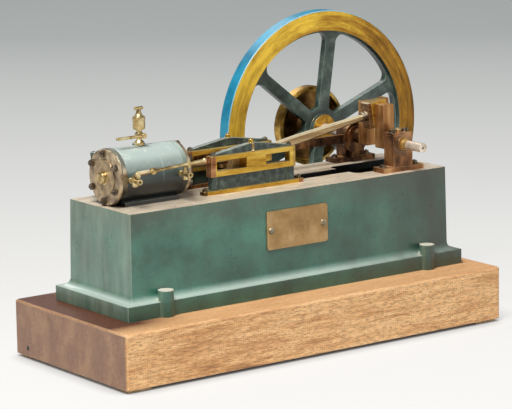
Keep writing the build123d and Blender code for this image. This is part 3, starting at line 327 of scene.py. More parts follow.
def makeOak(wood):
    material, tree, shader = newMaterial("oiled oak", {"Coat Weight": wood["coat"], "Coat Roughness": 0.35})
    along = stretchedPlace(tree, (0, 0, 0), (0.09, 1.0, 1.0))
    growth = {"Vector": along, "Scale": perMetre(wood["figureWidth"]), "Detail": 6.0, "Roughness": 0.6}
    figure = addNode(tree, "TexNoise", growth)
    short = stretchedPlace(tree, (0, 0, 0), (0.14, 1.0, 1.0))
    dashes = {"Vector": short, "Scale": perMetre(wood["poreWidth"]), "Detail": 4.0, "Roughness": 0.75}
    pores = addNode(tree, "TexNoise", dashes)
    slow = stretchedPlace(tree, (0, 0, 0), (0.25, 1.0, 1.0))
    boards = {"Vector": slow, "Scale": perMetre(wood["boardWidth"]), "Detail": 3.0, "Roughness": 0.5}
    broad = addNode(tree, "TexNoise", boards)
    mixed = addNode(tree, "Mix", {0: 0.35, 2: figure, 3: broad})
    stops = list(zip(toneSteps["oak"], (wood["dark"], wood["middle"], wood["light"])))
    tone = addNode(tree, "ValToRGB", {"stops": stops, 0: mixed})
    openPores = {"From Min": 0.48, "From Max": 0.6, "To Max": 0.75, "Value": pores}
    poreMask = addNode(tree, "MapRange", openPores)

    teeth = {"bands_direction": "X", "Distortion": 3.0, "Detail": 3.0, "Detail Scale": 2.0}
    pitch = waveLength / (wood["sawPitch"] * mm)
    sawn = addNode(tree, "TexWave", teeth | {"Scale": pitch, "Vector": stretchedPlace(tree)}, 1)
    sawMask = addNode(tree, "MapRange", {"From Min": 0.55, "From Max": 0.95, "To Max": 0.16, "Value": sawn})
    side = layOver(tree, tone, [(poreMask, wood["dark"]), (sawMask, wood["dark"])])

    crumble = {"Scale": perMetre(wood["crumbSize"]), "Detail": 8.0, "Roughness": 0.8}
    crumbs = addNode(tree, "TexNoise", crumble | {"Vector": stretchedPlace(tree)})
    stops = [(0.3, wood["endPore"]), (0.55, wood["end"])]
    crumbTone = addNode(tree, "ValToRGB", {"stops": stops, 0: crumbs})
    upright = stretchedPlace(tree, (0, 0, 0), (1.0, 1.0, 0.75))
    drink = {"Vector": upright, "Scale": perMetre(wood["soakSize"]), "Detail": 5.0, "Roughness": 0.6}
    soaks = addNode(tree, "TexNoise", drink)
    stops = list(zip(toneSteps["endGrain"], (wood["endDark"], wood["end"], wood["endGold"])))
    soakTone = addNode(tree, "ValToRGB", {"stops": stops, 0: soaks})
    endTone = layOver(tree, crumbTone, [(0.5, soakTone)])
    onEnd = facingMask(tree, 0, -0.6, -0.95)

    place = addNode(tree, "TexCoord", {}, "Object")
    spot = addNode(tree, "SeparateXYZ", {0: place}).node.outputs
    masks = []
    # the top's far left corner is painted dark: painted shade
    for part, key in ((spot[1], "shadeBehind"), (spot[0], "shadeLeft")):
        start, end = wood[key]
        ramp = {"From Min": start * mm, "From Max": end * mm, "Value": part}
        masks.append(addNode(tree, "MapRange", ramp))
    shadeOnTop = addNode(tree, "Math", {"operation": "MULTIPLY", 0: masks[0], 1: masks[1]})
    topTone = layOver(tree, wood["top"], [(shadeOnTop, wood["topShade"])])
    topShare = addNode(tree, "MapRange", {"To Min": 0.55, "To Max": 0.97, "Value": shadeOnTop})
    upward = facingMask(tree, 2, 0.5, 0.9)
    onTop = addNode(tree, "Math", {"operation": "MULTIPLY", 0: upward, 1: topShare})

    normal, corner = softEdge(tree, wood["cornerRadius"])
    knocked = addNode(tree, "Math", {"operation": "MULTIPLY", 0: corner, 1: crumbs})
    # the nail hole is not cut: a dark disc, painted shade, stands for its depth
    hole = [c * mm for c in wood["nailHole"]]
    away = addNode(tree, "VectorMath", {"operation": "DISTANCE", 0: place, 1: hole}, "Value")
    inner, outer = wood["nailRadius"]
    holeMask = addNode(tree, "MapRange", {"From Min": outer * mm, "From Max": inner * mm, "Value": away})
    layers = [(onEnd, endTone), (onTop, topTone), (knocked, wood["corner"]), (holeMask, wood["hole"])]
    tree.links.new(layOver(tree, side, layers), shader.inputs["Base Color"])

    gloss = {"To Min": 0.42, "To Max": 0.68, "Value": poreMask}
    tree.links.new(addNode(tree, "MapRange", gloss), shader.inputs["Roughness"])
    sunk = addNode(tree, "Math", {"operation": "ADD", 0: poreMask, 1: holeMask})
    height = addNode(tree, "Math", {"operation": "MULTIPLY_ADD", 0: sunk, 1: -0.7, 2: figure})
    relief = {"Strength": 0.5, "Distance": wood["grainDepth"] * mm, "Height": height, "Normal": normal}
    tree.links.new(addNode(tree, "Bump", relief), shader.inputs["Normal"])
    return material


oiledOak = makeOak(oak)

# Foot pads: cork, which looks pale, matt and crumbly
pad = {
    "dark": "#A08560", "colour": "#C9B08A", "light": "#DDC9A6", "stainSize": 3.0, "rough": (0.8, 0.95),
    "pitch": 1.2, "bump": 0.6, "depth": 0.4, "metallic": 0.0, "shine": 0.1,
}
corkPad = wornMetal("pale cork", pad)

# Bed: dark green enamel over cast iron. The eye gets a soft gloss that goes brown along the top edge and towards
# the crank, a pale painted sheen on the cylinder end, a painted highlight on the cove and upper faces, flaked pale on
# the bosses and painted black as shade in the pit; its planed top is bare
bedPaint = {
    "dark": "#274E40", "colour": "#376657", "light": "#467B68", "stain": "#3B3A2E", "chip": "#6B5540", "rub": "#B4C4B4",
    "cloudSize": 60.0, "grimeSize": 11.0, "grime": 0.6, "cornerWear": 0.45, "rough": (0.24, 0.42), "edge": 1.2,
    "coat": 0.45, "metallic": 0.0, "top": ("#C3CEC4", 0.6, 0.3, 0.9),
    "zones": [{"by": "Z", "from": 52.0, "to": 66.6, "tones": ("#1C3C30", "#2A5545", "#376956")}],
    "brown": "#574433", "brownHeights": (120.0, 147.0), "patchSize": 24.0,
    "right": "#3A3D33", "rightPlaces": (20.0, 170.0), "rightShare": 1.3, "streakSize": 15.0,
    "endSheen": "#8A9A86", "endSheenShare": 0.6,
    "bareTop": "#D6C7B0", "bareDark": "#8E7C68", "bareHeights": (146.8, 147.2), "planedWidth": 2.0,
    "boss": "#D3CDBB", "bossSpot": (151.0, 58.0), "bossReach": 17.0,
    "pit": "#0B0D0B", "pitReach": {"Y": 44.0, "X": 163.0, "Z": 147.1},
}


def makeBedPaint(finish):
    material, tree, shader, place, grime = oldEnamel("old green enamel on cast iron", finish)
    colour = shader.inputs["Base Color"].links[0].from_socket
    spot = addNode(tree, "SeparateXYZ", {0: place}).node.outputs
    low, high = (end * mm for end in finish["brownHeights"])
    nearTop = addNode(tree, "MapRange", {"From Min": low, "From Max": high, "To Max": 0.75, "Value": spot[2]})
    patches = {"Vector": place, "Scale": perMetre(finish["patchSize"]), "Detail": 6.0, "Roughness": 0.65}
    patch = addNode(tree, "TexNoise", patches)
    brown = addNode(tree, "Math", {"operation": "MULTIPLY", 0: nearTop, 1: patch, "use_clamp": True})

    left, right = (end * mm for end in finish["rightPlaces"])
    toRight = {"From Min": left, "From Max": right, "To Max": finish["rightShare"], "Value": spot[0]}
    rightward = addNode(tree, "MapRange", toRight)
    streaks = stretchedPlace(tree, (0, 0, 0), (1.0, 1.0, 0.2))
    runs = {"Vector": streaks, "Scale": perMetre(finish["streakSize"]), "Detail": 5.0, "Roughness": 0.65}
    cloudy = addNode(tree, "TexNoise", runs)
    faded = addNode(tree, "Math", {"operation": "MULTIPLY", 0: rightward, 1: cloudy, "use_clamp": True})
    # a pale painted sheen laid in patches over the cylinder end face
    film = {"From Min": 0.25, "From Max": 0.7, "To Max": finish["endSheenShare"], "Value": cloudy}
    cover = addNode(tree, "MapRange", film)
    onEnd = facingMask(tree, 0, -0.7, -0.95)
    endSheenMask = addNode(tree, "Math", {"operation": "MULTIPLY", 0: onEnd, 1: cover})

    low, high = (end * mm for end in finish["bareHeights"])
    atTop = addNode(tree, "MapRange", {"From Min": low, "From Max": high, "Value": spot[2]})
    level = facingMask(tree, 2, 0.8, 0.95)
    onTop = addNode(tree, "Math", {"operation": "MULTIPLY", 0: level, 1: atTop})
    along = stretchedPlace(tree, (0, 0, 0), (0.08, 1.0, 1.0))
    cuts = {"Vector": along, "Scale": perMetre(finish["planedWidth"]), "Detail": 5.0, "Roughness": 0.65}
    planed = addNode(tree, "TexNoise", cuts)
    stops = [(0.3, finish["bareDark"]), (0.55, finish["bareTop"])]
    bare = addNode(tree, "ValToRGB", {"stops": stops, 0: planed})

    # the four bosses stand alike in the four quarters, so one spot in the first quarter finds them all
    folded = addNode(tree, "VectorMath", {"operation": "ABSOLUTE", 0: place})
    flat = addNode(tree, "VectorMath", {"operation": "MULTIPLY", 0: folded, 1: (1, 1, 0)})
    bossSpot = [c * mm for c in finish["bossSpot"]] + [0]
    fromBoss = addNode(tree, "VectorMath", {"operation": "DISTANCE", 0: flat, 1: bossSpot}, "Value")
    reach = finish["bossReach"] * mm
    nearBoss = addNode(tree, "MapRange", {"From Min": reach, "From Max": 0.3 * reach, "Value": fromBoss})
    upward = facingMask(tree, 2, 0.2, 0.7)
    knocked = addNode(tree, "Math", {"operation": "MULTIPLY", 0: nearBoss, 1: upward})
    ragged = addNode(tree, "Math", {"operation": "MULTIPLY_ADD", 0: knocked, 1: 0.55, 2: grime})
    flaked = addNode(tree, "MapRange", {"From Min": 0.78, "From Max": 0.9, "Value": ragged})

    # the walls inside the crank pit are painted near black: painted shade
    within = []
    for axis, reach in finish["pitReach"].items():
        within.append(zoneMask(tree, place, {"by": axis, "from": -reach, "to": reach}))
    across = addNode(tree, "Math", {"operation": "MULTIPLY", 0: within[0], 1: within[1]})
    inside = addNode(tree, "Math", {"operation": "MULTIPLY", 0: across, 1: within[2]})
    layers = [(brown, finish["brown"]), (faded, finish["right"]), (endSheenMask, finish["endSheen"]), (onTop, bare)]
    layers += [(flaked, finish["boss"]), (inside, finish["pit"])]
    tree.links.new(layOver(tree, colour, layers), shader.inputs["Base Color"])
    return material


greenBed = makeBedPaint(bedPaint)

# Guide bases and trusses: enamel on brass castings. Almost black green with a low gloss, scratched down to pale
# metal, with a painted highlight on top and painted shade below; the far base is painted blacker as shade
smallPaint = {
    "dark": "#17221D", "colour": "#2B3A33", "light": "#56665B", "stain": "#2E2A20", "chip": "#B09A70", "rub": "#A9B2A2",
    "cloudSize": 7.0, "grimeSize": 4.0, "grime": 0.5, "cornerWear": 0.6, "rough": (0.3, 0.48), "edge": 0.7,
    "coat": 0.2, "metallic": 0.0, "scuff": "#B9BDAF",
    "top": ("#8B968C", 0.45, 0.4, 0.95), "under": ("#0A100C", 0.8, 0.1, -0.8),
}
greenSmall = oldEnamel("dark green enamel on brass casting", smallPaint)[0]
shadedPaint = smallPaint | {
    "dark": "#080D0A", "colour": "#15211B", "light": "#26382D", "rub": "#59665A", "top": ("#4A564B", 0.5, 0.25, 0.9),
}
greenShaded = oldEnamel("dark green enamel, painted black as shade", shadedPaint)[0]

# Cleading: enamelled sheet. A glossy grey green with a painted highlight along its crown and painted shade that
# goes black below, scuffed on top, with a painted highlight on the line where the sheet is joined
claddingPaint = {
    "dark": "#34433F", "colour": "#44554F", "light": "#5C6D67", "stain": "#3A352B", "chip": "#8A7C66", "rub": "#A9B6AC",
    "cloudSize": 16.0, "grimeSize": 5.0, "grime": 0.55, "cornerWear": 0.4, "rough": (0.26, 0.42), "edge": 0.5,
    "coat": 0.3, "metallic": 0.0, "scuff": "#CFD3C6",
    "top": ("#A9B6B0", 0.85, 0.15, 0.7), "under": ("#070908", 0.98, 0.25, -0.3),
    # pale line where the sheet is joined: a painted highlight
    "zones": [{"by": "X", "from": -128.1, "to": -127.6, "tones": ("#8A9690", "#A7B1AA", "#C4CBC3")}],
}
glossyCladding = oldEnamel("dark green enamel on sheet", claddingPaint)[0]

# Cylinder casting: enamel on gunmetal. Green where it shows, with the outer flange left as turned metal, a painted
# highlight on top, painted shade below and the saddle painted black as shade
cylinderPaint = {
    "dark": "#2A3D33", "colour": "#3D5145", "light": "#5A6E60", "stain": "#332D24", "chip": "#A08D6C", "rub": "#CDC4AC",
    "cloudSize": 14.0, "grimeSize": 4.0, "grime": 0.6, "cornerWear": 0.6, "rough": (0.24, 0.42), "edge": 0.7,
    "coat": 0.3, "metallic": 0.0, "top": ("#B4C2B9", 0.7, 0.2, 0.85), "under": ("#0A0D0C", 0.95, 0.35, -0.45),
    "zones": [
        {"by": "X", "from": -172.0, "to": -167.1, "tones": ("#857257", "#B5A27F", "#E4D5B4"), "metallic": 0.85},
        # the saddle is painted near black: painted shade under the cylinder
        {"by": "Z", "from": 147.0, "to": 152.0, "tones": ("#090B0A", "#101311", "#1C201D")},
    ],
}
cylinderEnamel = oldEnamel("green enamel on gunmetal casting", cylinderPaint)[0]

# Centres that the turned rings and the zones are measured from, in millimetres
axisHeight = 173.5
crankPlace = 136.5
cylinderCentre = (-136.25, 0.0, axisHeight)
wheelCentre = (crankPlace, 0.0, axisHeight)
guideCentre = (-26.0, 0.0, axisHeight)

# Covers: turned gunmetal. Fine rings catch the light, and a browner recess and a golden middle show in the face
coverFinish = {
    "dark": "#6E5A50", "colour": "#B09A7C", "light": "#DCCBA8", "stainSize": 8.0, "rough": (0.3, 0.46),
    "turned": "X", "pitch": 1.3, "centre": cylinderCentre, "metallic": 0.65, "specks": 0.3,
    "zones": [
        {"by": "round X", "from": 0.0, "to": 16.6, "tones": ("#786450", "#A48D6C", "#C6AE88")},
        {"by": "round X", "from": 0.0, "to": 4.6, "tones": ("#8C7144", "#BBA069", "#E2CE9C")},
    ],
}
turnedGunmetal = wornMetal("turned gunmetal", coverFinish)

# Big-end cap: filed bronze. Warm brown with bright filed corners, a painted highlight on top and painted shade
# underneath
bronzeFinish = {
    "dark": "#4A3020", "colour": "#A27048", "light": "#DCAC76", "stainSize": 14.0, "streak": (1.0, 1.0, 0.6),
    "rough": (0.28, 0.44), "drawn": (0.15, 1.0, 1.0), "pitch": 1.0, "metallic": 0.8, "specks": 0.25, "shine": 0.95,
    "top": ("#E0BC8C", 0.4, 0.25, 0.9), "under": ("#1E140E", 0.8, 0.1, -0.8),
}
bronze = wornMetal("filed bronze, oil-stained", bronzeFinish)

# Near bearing: the same bronze, with the bush's golden ring and a darker ring on the face round it
bearingFinish = bronzeFinish | {
    "centre": wheelCentre, "stainSize": 20.0,
    "zones": [
        {"by": "round Y", "from": 5.8, "to": 11.0, "tones": ("#453A34", "#8E6A4E", "#C89868")},
        {"by": "round Y", "from": 0.0, "to": 5.8, "tones": ("#7E5C22", "#B58C3C", "#DCBB70")},
    ],
}
bearingBronze = wornMetal("filed bronze with a gold-coloured bush", bearingFinish)

# Far castings, eccentric and gland: bronze painted nearly black as shade, with coppery edges and a painted highlight on
# top
shadedFinish = bronzeFinish | {
    "dark": "#1E1410", "colour": "#5C3E28", "light": "#AC7848", "stainSize": 9.0, "top": ("#C89A6A", 0.5, 0.25, 0.9),
}
shadedBronze = wornMetal("bronze, painted dark as shade", shadedFinish)

# Crank webs: coppery bronze filed along their length, so that upright streaks run down them, with a painted highlight
# on top and painted shade underneath
webFinish = {
    "dark": "#8E6039", "colour": "#B5824E", "light": "#D6A66E", "stainSize": 5.0, "streak": (1.0, 1.0, 0.1),
    "rough": (0.26, 0.44), "drawn": (1.0, 1.0, 0.12), "pitch": 1.0, "metallic": 0.8, "specks": 0.2, "shine": 0.95,
    "top": ("#E6C090", 0.5, 0.25, 0.9), "under": ("#1E140E", 0.8, 0.1, -0.8),
}
webBronze = wornMetal("coppery bronze, filed lengthwise", webFinish)

# Slide bars, foot bars and brasses: filed yellow brass with long file marks, bright edges, a painted highlight on top
# and painted shade underneath. The guides' end posts and the tips of the foot bar look coppery
barFinish = {
    "dark": "#906422", "colour": "#CC9E38", "light": "#F0CE66", "stainSize": 9.0, "streak": (0.2, 1.0, 1.0),
    "rough": (0.24, 0.36), "drawn": (0.1, 1.0, 1.0), "pitch": 0.8, "metallic": 0.85, "centre": guideCentre,
    "specks": 0.35, "shine": 0.95, "edge": 0.5,
    "top": ("#F2DFA4", 0.6, 0.25, 0.9), "under": ("#3A2812", 0.8, 0.1, -0.8),
}
copperEnds = [
    {"by": "X", "from": -60.0, "to": -43.0, "tones": ("#6A4028", "#9C6542", "#C48F66")},
    {"by": "X", "from": 45.5, "to": 60.0, "tones": ("#8A6630", "#A98744", "#C6A45C")},
]
copperTips = [
    {"by": "X", "from": -60.0, "to": -52.5, "tones": ("#3E2A1C", "#5E4028", "#86603E")},
    {"by": "X", "from": 52.0, "to": 60.0, "tones": ("#6A4028", "#9C6542", "#C48F66")},
]
brass = wornMetal("filed yellow brass", barFinish)
slideBrass = wornMetal("filed yellow brass between coppery end posts", barFinish | {"zones": copperEnds})
footBrass = wornMetal("filed yellow brass with coppery tips", barFinish | {"zones": copperTips})

# Lubricator, cocks and drain rod: turned brass, pale and bright, with hardly any marks
turnedFinish = {
    "dark": "#8E7444", "colour": "#C9B07A", "light": "#EFE0B4", "stainSize": 9.0, "rough": (0.24, 0.36),
    "turned": "Z", "pitch": 1.0, "centre": (-137.0, 0.0, 0.0), "metallic": 0.85, "specks": 0.1, "bump": 0.1,
}
turnedBrass = wornMetal("turned pale brass", turnedFinish)

# Name plate: rolled brass, tarnished to a dull cloudy brown, with fine marks along it
plateFinish = {
    "dark": "#876A40", "colour": "#AC8A5C", "light": "#C7A87C", "stainSize": 24.0, "rough": (0.36, 0.5),
    "drawn": (0.12, 1.0, 1.0), "pitch": 1.2, "metallic": 0.8, "specks": 0.3, "edge": 0.5,
}
plateBrass = wornMetal("rolled brass plate, tarnished", plateFinish)

# Rods: drawn steel. A cream streak of light along the top, a brown shade below
rodFinish = {
    "dark": "#A88A5C", "colour": "#D0B07C", "light": "#EFDCB0", "stainSize": 6.0, "streak": (0.08, 1.0, 1.0),
    "rough": (0.24, 0.34), "drawn": (0.06, 1.0, 1.0), "pitch": 1.0, "metallic": 0.55, "specks": 0.0, "bump": 0.15,
    "top": ("#F8EAC6", 0.85, 0.25, 0.9), "under": ("#5A3C1C", 0.95, 0.5, -0.5),
}
rodSteel = wornMetal("bright drawn steel", rodFinish)

# Connecting rod: the same steel, browned at the palm and darker at the collars, measured from the crankpin
rodLine = (-0.9874, 0.0, -0.1577)  # from the crankpin towards the crosshead
palmZone = {"by": rodLine, "from": 0.0, "to": 13.1, "tones": ("#5A4028", "#936C46", "#C49A6C")}
collarZone = {"by": rodLine, "from": 13.1, "to": 19.0, "tones": ("#352E28", "#574C43", "#857768")}
linkFinish = rodFinish | {"centre": (crankPlace, 0.0, 198.9), "zones": [palmZone, collarZone]}
connectingSteel = wornMetal("bright rod steel, browned at the palm", linkFinish)

# Crankshaft: turned steel, pale and pinkish at its end, with a golden collar beside the bearing
shaftFinish = {
    "dark": "#A89684", "colour": "#D6C6B2", "light": "#F2E7D8", "stainSize": 12.0, "rough": (0.3, 0.42),
    "turned": "Y", "pitch": 1.2, "centre": wheelCentre, "metallic": 0.6, "specks": 0.1, "bump": 0.15,
    "zones": [{"by": "Y", "from": -49.0, "to": -42.0, "tones": ("#8A6428", "#BE9448", "#E0C078")}],
}
shaftSteel = wornMetal("turned steel", shaftFinish)

# Nuts: steel gone dark, with brighter corners from the spanner
nutFinish = {
    "dark": "#332C24", "colour": "#62574A", "light": "#A5967F", "stainSize": 3.0, "rough": (0.3, 0.5),
    "pitch": 0.7, "edge": 0.2, "metallic": 0.95,
}
nutSteel = wornMetal("dark steel", nutFinish)

# Plate screws: pale steel heads, shaded below
screwFinish = {
    "dark": "#4E4232", "colour": "#AC9C7E", "light": "#E4D8BC", "stainSize": 4.0, "rough": (0.3, 0.46),
    "turned": "Y", "pitch": 1.0, "metallic": 0.75, "specks": 0.3, "under": ("#2A2219", 0.8, 0.3, -0.6),
}
screwSteel = wornMetal("pale steel screw", screwFinish)

# Rear pulley: turned bronze, a deep brown web with a bright golden rim
pulleyFinish = {
    "dark": "#4E3618", "colour": "#77572C", "light": "#A67F48", "stainSize": 12.0, "rough": (0.3, 0.48),
    "turned": "Y", "pitch": 1.2, "centre": wheelCentre, "metallic": 0.9, "specks": 0.2,
    "zones": [{"by": "round Y", "from": 34.0, "to": 40.0, "tones": ("#8A672A", "#C09644", "#EACB80")}],
}
pulleyBronze = wornMetal("turned bronze pulley", pulleyFinish)
print("materials made")


# Flywheel: the eye gets a face of turned brass with a painted highlight, golden at its upper left, browner elsewhere,
# with polishing arcs, a sky blue enamelled rim with a pale painted highlight on its corners, and a dark green spider
# with a bright hub
wheelPaint = {
    "face": ("#5E3E16", "#AE7E2A", "#F6CE4A"),
    "rim": ("#0F6480", "#157997", "#1E87A5"),
    "inner": ("#1C2924", "#37463F", "#5E6D62"),
    "line": "#86B4C4",
    # the pale colour laid over the corners, a painted highlight, and its share
    "edge": "#8EA398",
    "edgeHighlightShare": 0.85,
    "highlightSide": (-0.8, 0.0, 0.6),
    "metallic": 0.85,
    "cloudSize": 45.0,  # these are millimetres
    "arcWidth": 5.0,
    "arcLength": 12.0,  # a turn of one radian counts as this much
    "turnedPitch": 1.4,
    "edgeRadius": 0.7,
    "outerRadius": 116.2,
    "innerRadius": 96.4,
    "hubRadius": 13.6,
    "rimBand": 2.5,
}


def makeWheelPaint(name, finish, rimSide, faceFrom, faceTo):
    # faceFrom and faceTo are the radii, in millimetres, between which the flat face is bare metal
    material, tree, shader = newMaterial(name, {"Coat Weight": 0.1, "Coat Roughness": 0.3})
    place = stretchedPlace(tree, wheelCentre)
    clouds = {"Vector": place, "Scale": perMetre(finish["cloudSize"]), "Detail": 9.0, "Roughness": 0.7}
    cloud = addNode(tree, "TexNoise", clouds)
    # a painted highlight: the face is brightest towards its upper left as the wheel stands, and browner away from there
    toHighlight = {"operation": "DOT_PRODUCT", 0: place, 1: finish["highlightSide"]}
    aside = addNode(tree, "VectorMath", toHighlight, "Value")
    fade = {"From Min": -0.12, "From Max": 0.12, "To Min": 0.3, "To Max": 0.7, "Value": aside}
    highlightSlope = addNode(tree, "MapRange", fade)
    # long arcs that years of polishing left along the face
    parts = addNode(tree, "SeparateXYZ", {0: place}).node.outputs
    around = addNode(tree, "Math", {"operation": "ARCTAN2", 0: parts[0], 1: parts[2]})
    arc = addNode(tree, "Math", {"operation": "MULTIPLY", 0: around, 1: finish["arcLength"] * mm})
    keep = addNode(tree, "VectorMath", {"operation": "MULTIPLY", 0: place, 1: (1, 0, 1)})
    reach = addNode(tree, "VectorMath", {"operation": "LENGTH", 0: keep}, "Value")
    polar = addNode(tree, "CombineXYZ", {0: reach, 1: arc})
    rubs = {"Vector": polar, "Scale": perMetre(finish["arcWidth"]), "Detail": 6.0, "Roughness": 0.7}
    arcs = addNode(tree, "TexNoise", rubs)
    patches = addNode(tree, "Mix", {0: 0.6, 2: cloud, 3: arcs})
    # sheen mixes the polishing arcs with the painted highlight
    sheen = addNode(tree, "Mix", {0: 0.4, 2: patches, 3: highlightSlope})
    tones = []
    for key, noise in (("face", sheen), (rimSide, cloud), ("inner", cloud)):
        stops = list(zip(toneSteps["wheel"], finish[key]))
        tones.append(addNode(tree, "ValToRGB", {"stops": stops, 0: noise}))

    normal = addNode(tree, "TexCoord", {}, "Normal")
    sideways = addNode(tree, "SeparateXYZ", {0: normal}, 1)
    across = addNode(tree, "Math", {"operation": "ABSOLUTE", 0: sideways})
    onFace = addNode(tree, "MapRange", {"From Min": 0.8, "From Max": 0.9, "Value": across})
    faceZone = zoneMask(tree, place, {"by": "round Y", "from": faceFrom, "to": faceTo})
    bright = addNode(tree, "Math", {"operation": "MULTIPLY", 0: onFace, 1: faceZone})
    outer, band = finish["outerRadius"], finish["rimBand"]
    edgeZone = zoneMask(tree, place, {"by": "round Y", "from": outer - band, "to": outer + band})
    soft, corner = softEdge(tree, finish["edgeRadius"])
    # rubbed here is a painted highlight along the wheel's corners
    rubbed = addNode(tree, "Math", {"operation": "MULTIPLY", 0: corner, 1: finish["edgeHighlightShare"]})
    turning = addNode(tree, "MapRange", {"From Min": 0.3, "From Max": 0.5, "To Max": 0.85, "Value": across})
    lineMask = addNode(tree, "Math", {"operation": "MULTIPLY", 0: edgeZone, 1: turning})
    layers = [(edgeZone, tones[1]), (rubbed, finish["edge"]), (lineMask, finish["line"]), (bright, tones[0])]
    tree.links.new(layOver(tree, tones[2], layers), shader.inputs["Base Color"])

    metallic = addNode(tree, "Math", {"operation": "MULTIPLY", 0: bright, 1: finish["metallic"]})
    tree.links.new(metallic, shader.inputs["Metallic"])
    gloss = {"From Min": 0.3, "From Max": 0.7, "To Min": 0.3, "To Max": 0.48, "Value": cloud}
    tree.links.new(addNode(tree, "MapRange", gloss), shader.inputs["Roughness"])
    turned = {"wave_type": "RINGS", "rings_direction": "Y", "Distortion": 0.6, "Detail": 2.0}
    pitch = waveLength / (finish["turnedPitch"] * mm)
    rings = addNode(tree, "TexWave", turned | {"Scale": pitch, "Vector": place}, 1)
    cut = addNode(tree, "Math", {"operation": "MULTIPLY", 0: rings, 1: bright})
    marks = addNode(tree, "Math", {"operation": "ADD", 0: cut, 1: cloud})
    bump = addNode(tree, "Bump", {"Strength": 0.3, "Distance": 0.1 * mm, "Height": marks, "Normal": soft})
    tree.links.new(bump, shader.inputs["Normal"])
    return material


rimFrom, rimTo = wheelPaint["innerRadius"] - 0.5, wheelPaint["outerRadius"] + 1.0
rimFinish = makeWheelPaint("turned brass face, blue enamel rim", wheelPaint, "rim", rimFrom, rimTo)
spiderFinish = makeWheelPaint("green enamel spider, bright hub", wheelPaint, "inner", 0.0, wheelPaint["hubRadius"])

# Which CAD nodes each finish dresses
dressing = [
    (oiledOak, ["plinth"]),
    (corkPad, ["plinth_pads"]),
    (greenBed, ["bed"]),
    (plateBrass, ["name_plate"]),
    (cylinderEnamel, ["cylinder", "valve_chest", "valve_chest_cover"]),
    (glossyCladding, ["cylinder_cleading"]),
    (turnedGunmetal, ["outer_cover", "inner_cover"]),
    (nutSteel, ["outer_cover_nuts"]),
    (turnedBrass, ["lubricator_body", "lubricator_tap", "left_drain_cock", "right_drain_cock"]),
    (turnedBrass, ["left_cock_lever", "right_cock_lever", "drain_rod"]),
    (greenSmall, ["near_guide_base", "near_guide_truss", "far_guide_truss"]),
    (greenShaded, ["far_guide_base"]),
    (footBrass, ["near_foot_bar"]),
    (slideBrass, ["near_slide_bars", "far_slide_bars"]),
    (brass, ["big_end_brasses", "slippers"]),
    (bearingBronze, ["near_pedestal", "near_bearing_cap"]),
    (shadedBronze, ["far_pedestal", "far_bearing_cap", "far_foot_bar", "piston_rod_gland"]),
    (shadedBronze, ["eccentric_sheave", "eccentric_strap"]),
    (bronze, ["big_end_cap"]),
    (webBronze, ["near_crank_web", "far_crank_web"]),
    (shaftSteel, ["crankshaft"]),
    (connectingSteel, ["connecting_rod"]),
    (rodSteel, ["crosshead", "piston_rod", "valve_spindle"]),
    (rimFinish, ["flywheel_rim"]),
    (spiderFinish, ["flywheel_spokes"]),
    (pulleyBronze, ["rear_pulley"]),
]
for finish, names in dressing:
    for name in names:
        nodes[name].data.materials.clear()
        nodes[name].data.materials.append(finish)
print("CAD nodes dressed")


# Modelling helpers
def selectOnly(pieces):
    bpy.ops.object.select_all(action="DESELECT")
    for piece in pieces:
        piece.select_set(True)
    bpy.context.view_layer.objects.active = pieces[0]


def pick(piece, kind, test):
    # selects in edit mode only the edges or corners for which test is true
    bpy.ops.mesh.select_mode(type=kind)
    bpy.ops.mesh.select_all(action="DESELECT")
    mesh = bmesh.from_edit_mesh(piece.data)
    for part in {"EDGE": mesh.edges, "VERT": mesh.verts}[kind]:
        if test(part):
            part.select_set(True)
    bmesh.update_edit_mesh(piece.data)


def bevelTop(piece, height, offset, segments):
    # rounds the edges that lie above a height, and leaves edit mode
    pick(piece, "EDGE", lambda edge: all(corner.co.z > height for corner in edge.verts))
    bpy.ops.mesh.bevel(offset=offset, segments=segments)
    bpy.ops.object.mode_set(mode="OBJECT")


def startPiece(name, sides, radius, height):
    # a round or many-sided blank that stands on the origin, left in edit mode
    bpy.ops.object.select_all(action="DESELECT")
    blank = {"vertices": sides, "radius": radius * mm, "depth": height * mm, "location": (0, 0, height * mm / 2)}
    bpy.ops.mesh.primitive_cylinder_add(**blank)
    piece = bpy.context.object
    piece.name = name
    bpy.ops.object.transform_apply(location=True, rotation=True, scale=True)
    bpy.ops.object.mode_set(mode="EDIT")
    return piece


def joinPieces(pieces, name):
    selectOnly(pieces)
    if len(pieces) > 1:
        bpy.ops.object.join()
    joined = bpy.context.object
    joined.name = name
    return joined


def setAt(piece, spot, direction, turn=0.0):
    # stands a piece that was modelled up +Z on a spot, pointing along a direction
    selectOnly([piece])
    aim = Vector(direction).to_track_quat("Z", "Y") @ Matrix.Rotation(turn, 3, "Z").to_quaternion()
    piece.rotation_mode = "QUATERNION"
    piece.rotation_quaternion = aim
    piece.location = [c * mm for c in spot]
    bpy.ops.object.transform_apply(location=True, rotation=True, scale=True)
    return piece


def placeCopies(first, name, spots, direction, turns=(0.0,)):
    # the piece is modelled once, and every other spot takes a copy with a mesh of its own
    placed = []
    for k, spot in enumerate(spots):
        piece = first
        if k < len(spots) - 1:
            piece = first.copy()
            piece.data = first.data.copy()
            scene.collection.objects.link(piece)
        placed.append(setAt(piece, spot, direction, turns[k % len(turns)]))
    return joinPieces(placed, name)


def finishPiece(piece, material, body):
    selectOnly([piece])
    bpy.ops.object.shade_smooth_by_angle(angle=math.radians(32))
    piece.data.materials.clear()
    piece.data.materials.append(material)
    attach(piece, body)


# Nut on a stud: chamfered hexagon on a washer, with the domed end of the stud standing through it. The sizes are
# millimetres, and the cuts are shares of the nut's width across flats, the stud's radius or the washer's thickness
smallNut = {
    "flats": 4.4, "height": 2.6, "studRadius": 1.1, "studReach": 0.9, "washer": 0.5,
    "shoulder": 0.9, "pointCut": 0.12, "rimCut": 0.05, "domeCut": 0.45, "washerRadius": 0.68, "washerCut": 0.4,
}
coverNut = smallNut | {"flats": 5.4, "height": 3.5, "studRadius": 1.4, "studReach": 1.5, "washer": 0.0}


